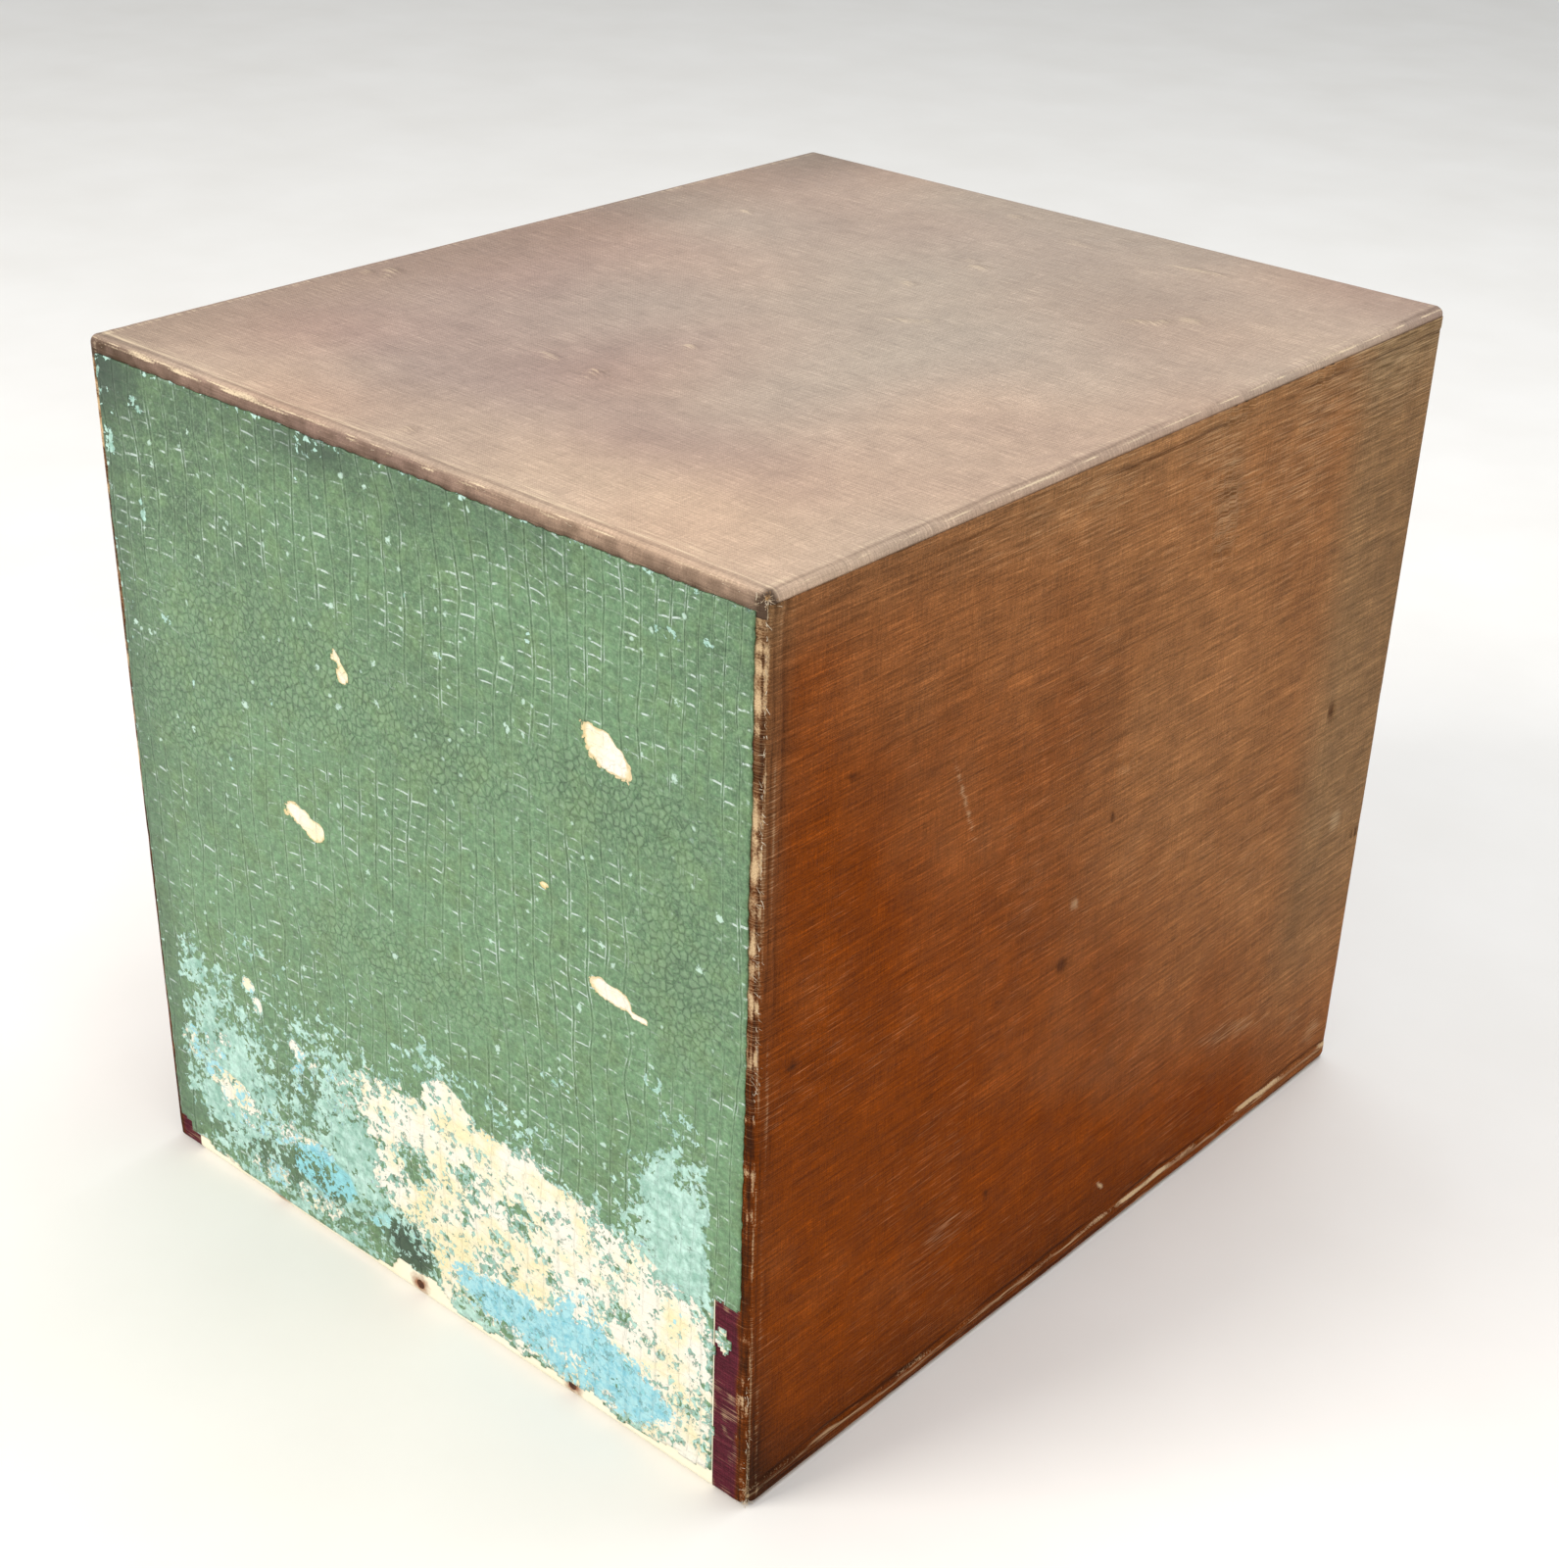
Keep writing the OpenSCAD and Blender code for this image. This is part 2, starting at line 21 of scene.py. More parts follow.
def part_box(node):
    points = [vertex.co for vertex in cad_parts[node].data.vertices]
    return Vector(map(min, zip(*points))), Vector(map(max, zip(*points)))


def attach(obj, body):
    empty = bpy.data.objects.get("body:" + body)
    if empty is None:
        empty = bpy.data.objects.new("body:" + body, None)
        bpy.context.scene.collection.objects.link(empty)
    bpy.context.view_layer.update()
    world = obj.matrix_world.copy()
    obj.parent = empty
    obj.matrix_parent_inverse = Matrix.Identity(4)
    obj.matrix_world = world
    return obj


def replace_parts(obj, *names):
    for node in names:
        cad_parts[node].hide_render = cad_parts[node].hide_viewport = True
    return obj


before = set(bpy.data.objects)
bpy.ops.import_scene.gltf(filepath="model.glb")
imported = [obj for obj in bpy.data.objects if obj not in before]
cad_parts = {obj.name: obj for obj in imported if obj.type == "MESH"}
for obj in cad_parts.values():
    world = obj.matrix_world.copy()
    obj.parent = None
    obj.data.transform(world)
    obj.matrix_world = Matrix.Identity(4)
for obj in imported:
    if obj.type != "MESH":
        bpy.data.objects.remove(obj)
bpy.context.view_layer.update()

# %% [markdown]
# ## Camera
# The box is seen from a little above its papered corner, close enough for the upright edges to
# lean in. A camera is a point and three directions; the three are written as the columns of its
# matrix. The small shift slides the view sideways and up without turning the camera.

# %% Camera
ahead, down = Vector((-0.5578, 0.66276, -0.49962)), Vector((0.34911, -0.35877, -0.86568))
right = down.cross(ahead).normalized()
lens = bpy.data.cameras.new("view_camera")
lens.lens, lens.sensor_width = 56.67, 36
lens.shift_x, lens.shift_y = -0.0153, 0.05625
camera = bpy.data.objects.new("view_camera", lens)
turn = Matrix((right, -down, -ahead)).transposed().to_4x4()
camera.matrix_world = Matrix.Translation((0.5750, -0.6703, 0.6193)) @ turn
bpy.context.scene.collection.objects.link(camera)
bpy.context.scene.camera = camera
print("camera", [round(v, 3) for v in camera.matrix_world.translation])

# %% [markdown]
# ## Colours and nodes
# Every finish is a small network of nodes. One function adds a node, sets it and links it, so a
# finish reads as a list of sums: "+" and "*" are Math nodes, "mix" blends two colours by a factor,
# and "smooth" is a soft step between two limits. Shaders work in linear light, while colours are
# given as sRGB hex codes, so one function turns the one into the other.

# %% Node helper
def linear(code):
    """An sRGB hex colour as linear RGBA: c/12.92 up to 0.04045, else ((c + 0.055)/1.055)^2.4."""
    c = np.array([int(code[i:i + 2], 16) for i in (1, 3, 5)]) / 255
    return (*np.where(c <= 0.04045, c / 12.92, ((c + 0.055) / 1.055) ** 2.4), 1.0)


mode_names = {"Math": "operation", "VectorMath": "operation", "Mix": "data_type",
              "MapRange": "interpolation_type", "Attribute": "attribute_name"}
short_names = {"+": "Math ADD", "-": "Math SUBTRACT", "*": "Math MULTIPLY", "*+": "Math MULTIPLY_ADD",
               "max": "Math MAXIMUM", "mix": "Mix RGBA", "scaled": "VectorMath SCALE",
               "smooth": "MapRange SMOOTHSTEP"}


def add(material, kind, *inputs, **settings):
    """Adds one node of a kind and mode, as "Math ADD" or "+". Its inputs are one dict by name, or
    follow the order of the open sockets: values, hex colours, sockets or earlier nodes."""
    kind, _, mode = short_names.get(kind, kind).partition(" ")
    made = material.node_tree.nodes.new("ShaderNode" + kind)
    if mode:
        settings[mode_names[kind]] = mode
    for name, value in settings.items():
        setattr(made, name, value)
    sockets = [socket for socket in made.inputs if socket.enabled]
    if inputs and isinstance(inputs[0], dict):
        by_name = {socket.name: socket for socket in sockets}
        sockets, inputs = [by_name[name] for name in inputs[0]], inputs[0].values()
    for socket, value in zip(sockets, inputs):
        if isinstance(value, bpy.types.Node):
            value = next(output for output in value.outputs if output.enabled)
        if isinstance(value, bpy.types.NodeSocket):
            material.node_tree.links.new(value, socket)
        else:
            socket.default_value = linear(value) if isinstance(value, str) else value
    return made


def new_material(name):
    """An empty material, and the call that adds a node to it."""
    material = bpy.data.materials.new(name)
    material.use_nodes = True
    material.node_tree.nodes.clear()
    return material, partial(add, material)


def finish_material(material, surface):
    """Joins the shader to the material's output."""
    add(material, "OutputMaterial", {"Surface": surface})
    print("finish", material.name, len(material.node_tree.nodes), "nodes")
    return material


# %% [markdown]
# ## Floor and light
# A pale floor with a faint plaster mottle carries the shadow. One broad lamp from the left and
# front lights the paper and rakes across the top, a weaker one fills the right side, and a
# pale sky closes the shadows. Large lamps give the soft edge that daylight has.

# %% Floor and lamps
plaster, node = new_material("pale_plaster")
place = node("TexCoord").outputs["Object"]
mottle = node("TexNoise", {"Vector": place, "Scale": 9.0, "Detail": 5.0})
tint = node("mix", mottle, "#e4e1dc", "#efedea")
finish_material(plaster, node("BsdfPrincipled", {"Base Color": tint, "Roughness": 0.8}))

half = 4.0                                      # m, half the width of the floor
ground = bpy.data.meshes.new("floor")
ground.from_pydata([(x, y, 0.0) for x in (-half, half) for y in (-half, half)], [], [(0, 2, 3, 1)])
ground.materials.append(plaster)
floor = bpy.data.objects.new("floor", ground)
bpy.context.scene.collection.objects.link(floor)

sky = bpy.data.worlds.new("pale_sky")
sky.use_nodes = True
sky.node_tree.nodes["Background"].inputs["Color"].default_value = linear("#f1f4f6")
sky.node_tree.nodes["Background"].inputs["Strength"].default_value = 0.62
bpy.context.scene.world = sky


def lamp(name, place, aim, size, watts, colour):
    """A square area lamp at a place, turned so that its -Z axis points at the aim."""
    data = bpy.data.lights.new(name, "AREA")
    data.shape, data.size, data.energy, data.color = "SQUARE", size, watts, linear(colour)[:3]
    lit = bpy.data.objects.new(name, data)
    lit.location = place
    lit.rotation_euler = (Vector(aim) - Vector(place)).to_track_quat("-Z", "Y").to_euler()
    bpy.context.scene.collection.objects.link(lit)


lamp("key_lamp", (-0.9, -1.9, 1.7), (0, 0, 0.15), 1.2, 46, "#fffaf2")
lamp("side_lamp", (2.1, -0.9, 1.1), (0, 0, 0.15), 1.4, 17, "#fff3e4")
lamp("top_lamp", (0.2, 0.6, 2.3), (0, 0, 0.3), 1.5, 30, "#f8fbff")
bpy.context.scene.view_settings.view_transform = "Standard"

# %% [markdown]
# ## Measures
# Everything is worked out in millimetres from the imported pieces: the outside of the cloth, the
# paper on the base and the mouth of the box.

# %% Measures
def box_mm(node):
    """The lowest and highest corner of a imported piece, in millimetres."""
    low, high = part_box(node)
    return np.array(low) * 1000, np.array(high) * 1000


cloth_low = np.minimum(box_mm("top_cloth")[0], box_mm("bottom_cloth")[0])
cloth_high = np.maximum(box_mm("top_cloth")[1], box_mm("bottom_cloth")[1])
cloth_low[0], cloth_high[0] = box_mm("left_cloth")[0][0], box_mm("right_cloth")[1][0]
paper_low, paper_high = box_mm("base_paper")
lid_low, lid_high = box_mm("lid_cloth")
front, rim = cloth_low[1], cloth_high[1]
half_w, tall = cloth_high[0], cloth_high[2]
lid_gap = 1.2                                   # mm between the lid and the mouth
mouth_x, mouth_z0, mouth_z1 = lid_high[0] + lid_gap, lid_low[2] - lid_gap, lid_high[2] + lid_gap
edge_r, cloth_t = 3.2, 0.7                      # mm, the rubbed-round edge and the cloth
top_roll, foot_roll, turn_in, rim_in = 3.6, 1.6, 15.5, 25.0
lap_top, lap_foot = 8.0, 8.0                    # mm, the hidden laps that show as a raised band
print("cloth", cloth_low.round(2), cloth_high.round(2), "mouth", round(mouth_x, 2))

# %% [markdown]
# ## Surfaces as grids
# A covering is a set of patches lying on a sharp-edged box. Each point is then drawn onto the box
# with round edges: it is clamped to a box that is smaller by the radius, and pushed back out from
# there by the radius. Flat parts stay flat, edges become quarter rounds and corners become ball
# corners, and the direction of the push is the surface normal, which the dents and bulges follow.

# %% Grid helpers
def spaced(low, high, step, fine, reach, near=(True, True)):
    """Positions from low to high, fine steps within reach of the chosen ends and coarser between."""
    ends = [low + reach if near[0] else low, high - reach if near[1] else high]
    parts = []
    if near[0]:
        parts.append(np.linspace(low, ends[0], int(round(reach / fine)) + 1)[:-1])
    parts.append(np.linspace(*ends, int(round((ends[1] - ends[0]) / step)) + 1))
    if near[1]:
        parts.append(np.linspace(ends[1], high, int(round(reach / fine)) + 1)[1:])
    return np.concatenate(parts)


def round_box(points, low, high, radius):
    """Clamps points to the box shrunk by the radius and pushes them out by it. Gives the normal."""
    core = np.clip(points, low + radius, high - radius)
    away = points - core
    length = np.linalg.norm(away, axis=-1, keepdims=True)
    normal = away / np.maximum(length, 1e-9)
    return np.where(length > 1e-6, core + radius * normal, points), normal


def hills(a, b, size, seed):
    """Smooth random heights, -1 to 1: values on a square lattice joined by the curve 3t^2 - 2t^3."""
    count = 97                                  # values a side before the lattice repeats
    lattice = np.random.default_rng(seed).uniform(-1, 1, (count, count))
    i, j = a / size, b / size
    i0, j0 = np.floor(i).astype(int), np.floor(j).astype(int)
    s, t = i - i0, j - j0
    s, t = s * s * (3 - 2 * s), t * t * (3 - 2 * t)
    q = [lattice[(i0 + di) % count, (j0 + dj) % count] for di in (0, 1) for dj in (0, 1)]
    return (q[0] * (1 - t) + q[1] * t) * (1 - s) + (q[2] * (1 - t) + q[3] * t) * s


def ramp(value, start, end):
    """0 before start, 1 after end, and the curve 3t^2 - 2t^3 between them."""
    t = np.clip((value - start) / (end - start), 0, 1)
    return t * t * (3 - 2 * t)


def spot(a, b, centre, radii, soft=0.5, tilt=0.0):
    """1 in the middle of an ellipse turned by tilt degrees, falling to 0 round its edge."""
    c, s = np.cos(np.radians(tilt)), np.sin(np.radians(tilt))
    da, db = a - centre[0], b - centre[1]
    d = np.hypot((da * c + db * s) / radii[0], (db * c - da * s) / radii[1])
    return 1 - ramp(d, 1 - soft, 1 + soft)


def blots(a, b, soft, rows):
    """The sum of many spots. Each row has a centre, two radii, a height and sometimes a tilt."""
    return sum(high * spot(a, b, centre, radii, soft, *tilt) for centre, radii, high, *tilt in rows)


def crease(across, along, place, wander, width, seed):
    """1 on a broken line that wanders about one place, falling to 0 beside it as e^-(d/width)^2."""
    d = across - place - wander * hills(along, along * 0, 23, seed)
    d -= 0.3 * hills(along, across, 5, seed)
    return np.exp(-(d / width) ** 2) * ramp(hills(along, along * 0, 31, seed + 1), -0.7, 0.1)


# %% Mesh helper
def make_piece(name, patches, finishes, angle=35, thick=0.0):
    """Joins patches into one mesh. A patch has points (rows, columns, 3) in mm, outward normals,
    uv in mm and named fields on the same grid, and may leave out faces with a keep mask. Points
    closer than 0.002 mm are welded, and each patch is wound so that it faces along its normals."""
    points, quads, uvs, fields, start = [], [], [], {}, 0
    for patch in patches:
        rows, columns = patch["points"].shape[:2]
        index = np.arange(rows * columns).reshape(rows, columns) + start
        faces = np.stack([index[:-1, :-1], index[:-1, 1:], index[1:, 1:], index[1:, :-1]], -1)
        p = patch["points"]
        across = np.cross(p[:-1, 1:] - p[:-1, :-1], p[1:, :-1] - p[:-1, :-1])
        if (across * patch["normals"][:-1, :-1]).sum() < 0:
            faces = faces[..., ::-1]
        keep = patch.get("keep", np.ones(faces.shape[:2], bool))
        quads.append(faces[keep])
        points.append(p.reshape(-1, 3))
        uvs.append(patch["uv"].reshape(-1, 2))
        for key, value in patch["fields"].items():
            fields.setdefault(key, []).append(np.broadcast_to(value, (rows, columns)).ravel())
        start += rows * columns
    points, quads, uvs = np.concatenate(points), np.concatenate(quads), np.concatenate(uvs)
    weld = 0.002                                # mm
    _, first, same = np.unique(np.round(points / weld).astype(np.int64), axis=0,
                               return_index=True, return_inverse=True)
    same = same.ravel()
    welded = same[quads]
    whole = (np.diff(np.sort(welded, axis=1), axis=1) > 0).all(axis=1)
    welded, quads = welded[whole], quads[whole]
    used, tight = np.unique(welded, return_inverse=True)
    tight = tight.reshape(welded.shape)
    mesh = bpy.data.meshes.new(name)
    mesh.from_pydata((points[first[used]] / 1000).tolist(), [], tight.tolist())
    layer = mesh.uv_layers.new(name="surface")
    layer.data.foreach_set("uv", (uvs[quads.ravel()] / 1000).astype(np.float32).ravel())
    for key, values in fields.items():
        made = mesh.attributes.new(key, "FLOAT", "POINT")
        made.data.foreach_set("value", np.concatenate(values)[first[used]].astype(np.float32))
    for finish in finishes:
        mesh.materials.append(finish)
    mesh.polygons.foreach_set("use_smooth", np.ones(len(mesh.polygons), bool))
    mesh.set_sharp_from_angle(angle=np.radians(angle))
    mesh.update()
    piece = bpy.data.objects.new(name, mesh)
    bpy.context.scene.collection.objects.link(piece)
    if thick:
        wall = piece.modifiers.new("cloth_thickness", "SOLIDIFY")
        wall.thickness, wall.offset = thick / 1000, -1.0
    print(name, len(mesh.vertices), "points", len(mesh.polygons), "faces")
    return piece


# %% [markdown]
# ## Bookcloth
# Bookcloth is a plain linen or cotton weave filled with starch and dyed brown. Faded, it goes
# grey and mauve; rubbed, its crowns go pale; handled and greased, it turns orange-brown. The real
# threads lie about 0.45 mm apart, which is too fine to show, so the weave is drawn at 0.9 mm.
# Long thin streaks of noise along each thread direction give the uneven yarn, and two fine waves
# give the crossing threads their height. Where the yarn stands highest it gets a painted highlight.

# %% Bookcloth
def bookcloth(name, colours, by_uv=True, weave=1.0, streak=1.0):
    """Plain-woven bookcloth. colours: handled, faded, aged, dark, rubbed, unfaded."""
    middle = 1.625 + 0.5 * streak                 # the mean of the yarn height summed below
    cloth, node = new_material(name)
    if by_uv:
        place = node("UVMap", uv_map="surface")
    else:
        seen = node("SeparateXYZ", node("TexCoord").outputs["Object"])
        place = node("CombineXYZ", seen.outputs["X"], seen.outputs["Z"])
    fade, olive, dark, rub, scuff, maroon = (
        node("Attribute " + key, attribute_type="GEOMETRY").outputs["Fac"]
        for key in ("fade", "olive", "dark", "rub", "scuff", "maroon"))
    # Even noises from clouds to lint, then noises drawn out along the threads: patches per metre.
    cloud, mid, lint = (
        node("TexNoise", {"Vector": place, "Scale": scale, "Detail": detail, "Roughness": rough})
        for scale, detail, rough in ((14.0, 5.0, 0.6), (75.0, 4.0, 0.65), (1150.0, 3.0, 0.7)))
    weft, warp, slub = (
        node("TexNoise", {"Vector": node("Mapping", {"Vector": place, "Scale": (along, across, 1.0)}),
                          "Scale": 1.0, "Detail": detail, "Roughness": rough})
        for along, across, detail, rough in ((60.0, 1900.0, 2.0, 0.6), (1700.0, 90.0, 2.0, 0.6),
                                             (18.0, 620.0, 3.0, 0.7)))

    faded = node("*+", node("+", cloud, -0.5), 0.7, fade, use_clamp=True)
    colour = node("mix", faded, colours[0], colours[1])
    colour = node("mix", olive, colour, colours[2])
    grimy = node("*+", node("+", mid, -0.5), 0.8, dark, use_clamp=True)
    colour = node("mix", node("Math MINIMUM", grimy, dark), colour, colours[3])
    colour = node("mix", node("*", maroon, 1.0, use_clamp=True), colour, colours[5])

    yarn = node("*+", slub, streak, weft)
    for part, share in ((warp, 0.55), (lint, 0.9), (mid, 0.45), (cloud, 0.35)):
        yarn = node("*+", part, share, yarn)
    light = node("MapRange", yarn, middle - 0.27, middle + 0.27, 1.0 - 0.36 * weave, 1.0 + 0.36 * weave)
    colour = node("scaled", colour, light)
    # Painted highlight: where the yarn stands highest, its colour is mixed toward a copy 1.9 times as
    # bright.
    painted_thread_highlight = node("MapRange", yarn, middle + 0.17, middle + 0.36, 0.0, 0.3 * weave)
    colour = node("mix", painted_thread_highlight, colour, node("scaled", colour, 1.9))
    worn = node("MapRange", node("*+", lint, 1.1, node("*+", mid, 0.4, rub)), 1.06, 1.5)
    # The scuff field also carries the painted highlights beside the lumps of the top.
    scuffed_and_highlit = node("MapRange", node("*+", weft, 1.3, scuff), 0.85, 1.6)
    colour = node("mix", node("max", worn, scuffed_and_highlit), colour, colours[4])

    rows = node("SeparateXYZ", place)
    pitch = 0.0009                                # m from thread to thread, as drawn
    thread = [node("Math SINE", node("*", rows.outputs[axis], 2 * np.pi / pitch)) for axis in (0, 1)]
    height = node("*+", node("*", *thread), 0.22, yarn)
    bump = node("Bump", {"Height": height, "Strength": 0.75 * weave, "Distance": 0.0004})
    rough = node("MapRange", mid, 0.3, 0.7, 0.62, 0.78)
    return finish_material(cloth, node("BsdfPrincipled", {
        "Base Color": colour, "Roughness": rough, "Normal": bump, "Specular IOR Level": 0.06}))


# handled, faded, aged, dark, rubbed, unfaded
brown_cloth = bookcloth("brown_bookcloth", (
    "#783700", "#92643e", "#836849", "#3a1c09", "#ccb08a", "#56202c"), weave=1.2, streak=0.8)
top_cloth_finish = bookcloth("mauve_faded_bookcloth", (
    "#927870", "#b59a84", "#a1978a", "#4f3f33", "#d8c4a6", "#56202c"), weave=0.62, streak=0.15)
lid_cloth_finish = bookcloth("lid_bookcloth", (
    "#68330f", "#7c4a2c", "#6b5238", "#33200f", "#a98a68", "#56202c"), by_uv=False)

# %% [markdown]
# ## The side cloths
# Each side board has one strip of cloth. It starts on the base, under the edge of the paper, goes
# round the upright edge, along the side, over the rim and 25 mm into the mouth. The path runs in
# plan and is carried up the board. The bands at top and bottom stand 0.55 mm proud, because the
# cloths of the top and bottom boards are lapped under them, and old boards are never quite flat.

# %% Side cloths
def folds(run, z):
    """The creases pressed in along the foot, the front edge and the top band of a side cloth."""
    return ((z, run, 3.0, 0.8, 0.6, 20), (z, run, 9.6, 1.0, 0.7, 22), (run, z, 3.4, 0.5, 0.5, 24),
            (run, z, 7.2, 0.9, 0.7, 26), (z, run, tall - lap_top - 0.8, 0.8, 0.7, 28))


def side_relief(run, z, seed, right_side):
    """Height over the flat board in mm: slow waves, the two raised bands and local wrinkles."""
    lift = 0.30 * hills(run, z, 95, seed) + 0.10 * hills(run, z, 26, seed + 1)
    edge = 1.3 * hills(run, z * 0, 37, seed + 2) + 0.5 * hills(run, z * 0, 9, seed + 3)
    lift += 0.55 * ramp(z, tall - lap_top + edge - 0.9, tall - lap_top + edge + 0.5)
    lift += 0.55 * (1 - ramp(z, lap_foot + edge - 0.5, lap_foot + edge + 0.9))
    for across, along, place, wander, width, k in folds(run, z):
        lift -= 0.32 * crease(across, along, place, wander, width, seed + k)
    if right_side:                              # the crinkles, the dents and the two pressed spots
        pucker = spot(run, z, (243, 297), (9, 24), 0.7)
        lift += 0.55 * pucker * np.sin(run * 1.15 + 2.2 * hills(run, z, 9, seed + 4))
        pucker = spot(run, z, (243, 338), (10, 5), 0.7) + spot(run, z, (300, 338), (7, 5), 0.7)
        lift += 0.8 * pucker * np.sin(run * 1.0 + 1.8 * hills(run, z, 7, seed + 5))
        lift += 0.5 * spot(run, z, (196, 219), (11, 5), 0.7, -35) * np.sin(run * 0.9 - z * 0.6)
        lift -= 0.35 * spot(run, z, (166, 148), (5, 3.5), 0.8)
        lift -= 0.6 * spot(run, z, (344, 187), (1.6, 4), 0.8)
    return lift


# %% Wear of the side cloths
def side_fields(run, z, seed, right_side, normal):
    """Where the side cloth is faded, olive, dark, rubbed, scuffed or never saw the light."""
    slow = hills(run, z, 70, seed + 7)
    slope = run * 0.0026 + z * 0.0021 + 0.07 * slow + 0.03 * hills(run, z, 22, seed + 6)
    fade = ramp(slope, 0.5, 1.22) - 0.35 * (1 - ramp(z, 15, 95)) + 0.12 * ramp(z, 270, 335)
    fade += 0.15 * spot(run, z, (215, 200), (60, 40), 0.8)
    olive = ramp(run + 5 * slow, 312, 345) * ramp(z + 8 * slow, 20, 150) * 0.75
    olive += 0.5 * (1 - ramp(run, 0, 14)) * ramp(z, 150, 300) + 0.35 * ramp(z, 310, 344)
    dark = 0.75 * (1 - ramp(run + z * 0.9 + 14 * slow, 0, 75)) + 0.25 * (1 - ramp(run, 0, 22))
    dark += 0.35 * (1 - ramp(z + 6 * slow, 4, 46)) * (1 - ramp(run, 190, 330))
    # Painted shade: the first two blots darken the two pressed dents; the others are marks.
    dark += right_side * blots(run, z, 0.7, (
        ((166, 148), (3.5, 2.5), 0.9), ((344, 187), (2, 4), 0.9), ((41, 272), (1.4, 1.2), 0.9),
        ((17, 178), (2.5, 2), 0.9), ((189, 200), (1.6, 2), 0.9), ((130, 65), (1.6, 1.6), 0.9),
        ((379, 117), (1.0, 2.2), 0.9), ((382.5, 117), (1.0, 2.4), 0.9), ((386, 117), (1.0, 2.2), 0.9),
        ((243, 300), (8, 22), 0.3)))
    # Painted shade: each pressed crease is darkened along its length, most along the foot and top band.
    for across, along, place, wander, width, k in folds(run, z):
        depth = 0.7 if across is z else 0.42
        dark += depth * crease(across, along, place, wander, width, seed + k)
    scuff = 0.12 * hills(run, z, 33, seed + 8) + 0.22 * ramp(z, 250, 340) * ramp(run, 60, 250)
    scuff += 0.55 * crease(z, run, 6.4, 1.0, 0.7, seed + 22)
    scuff += 0.4 * crease(z, run, 1.6, 0.6, 0.5, seed + 33)
    scuff += 0.5 * crease(run, z, 1.4, 0.4, 0.5, seed + 35)
    scuff += 0.3 * crease(run, z, 5.2, 0.8, 0.6, seed + 37)
    scuff += right_side * blots(run, z, 0.6, (
        ((243, 300), (10, 24), 0.15), ((196, 219), (12, 5), 0.25, -35), ((99, 242), (1.0, 19), 0.5, 22),
        ((283, 210), (18, 1.5), 0.2), ((170, 172), (2.2, 2.2), 0.5), ((362, 131), (4, 5), 0.32),
        ((350, 36), (9, 8), 0.2), ((371, 21), (7, 6), 0.28), ((345, 132), (20, 4), 0.12),
        ((209, 25), (0.7, 3.2), 1.0, 40), ((110, 62), (16, 6), 0.16), ((300, 55), (34, 5), 0.2, -14)))
    low_ridge = spot(z, z * 0, (lap_foot + 0.6 * hills(run, z * 0, 9, seed + 3), 0), (1.1, 1), 0.7)
    high_ridge = spot(z, z * 0, (tall - lap_top, 0), (0.8, 1), 0.7)
    rough_edge = 0.5 + 0.5 * hills(run, z, 11, seed + 9)
    # The ridges of the lapped bands are lightened, partly rubbed and partly a painted highlight.
    rub = 0.75 * low_ridge * ramp(run, 190, 240) * rough_edge + 0.25 * high_ridge * rough_edge
    rub += 0.45 * low_ridge * rough_edge
    on_edge = 1 - ramp(np.abs(normal).max(axis=-1), 0.72, 0.99)
    rub = np.maximum(rub, on_edge * (0.22 + 0.55 * hills(run, z, 13, seed + 10)))
    tip = 1 - ramp(np.abs(normal).max(axis=-1), 0.705, 0.76)
    rub = np.maximum(rub, tip * (0.5 + 0.45 * hills(run, z, 5, seed + 11)))
    return {"fade": np.clip(fade, 0, 1.2), "olive": np.clip(olive, 0, 1), "dark": np.clip(dark, 0, 1),
            "rub": rub, "scuff": scuff, "maroon": run * 0}


def strip_fields(gap, z, u, seed):
    """The strip turned onto the base: worn by its edge, and unfaded where the paper lay over it."""
    unseen = ramp(gap + 0.8 * hills(z, u, 5, seed), 4.4, 5.8)
    upper = ramp(z + 6 * hills(z, u, 14, seed + 15), 150, 185)
    chafed = 0.7 * hills(z, u, 2.6, seed + 16) + 0.6 * hills(z, u, 11, seed + 17)
    line = crease(gap, z, 1.5, 0.3, 0.5, seed + 40) + crease(gap, z, 3.2, 0.5, 0.4, seed + 42)
    scuff = (0.05 + 0.15 * upper) * (1 - unseen) + 0.5 * unseen * np.clip(chafed, 0, 1)
    rub = (0.12 + 0.30 * upper + 0.55 * chafed - 0.4 * line) * (1 - unseen) + 0.3 * chafed * unseen
    dark = (0.5 - 0.2 * upper - 0.5 * chafed + 0.8 * line) * (1 - unseen)
    dark += unseen * 0.25 * (0.5 - chafed) * (z < 60)
    return {"maroon": unseen, "scuff": scuff, "rub": rub, "dark": np.clip(dark, 0, 1)}


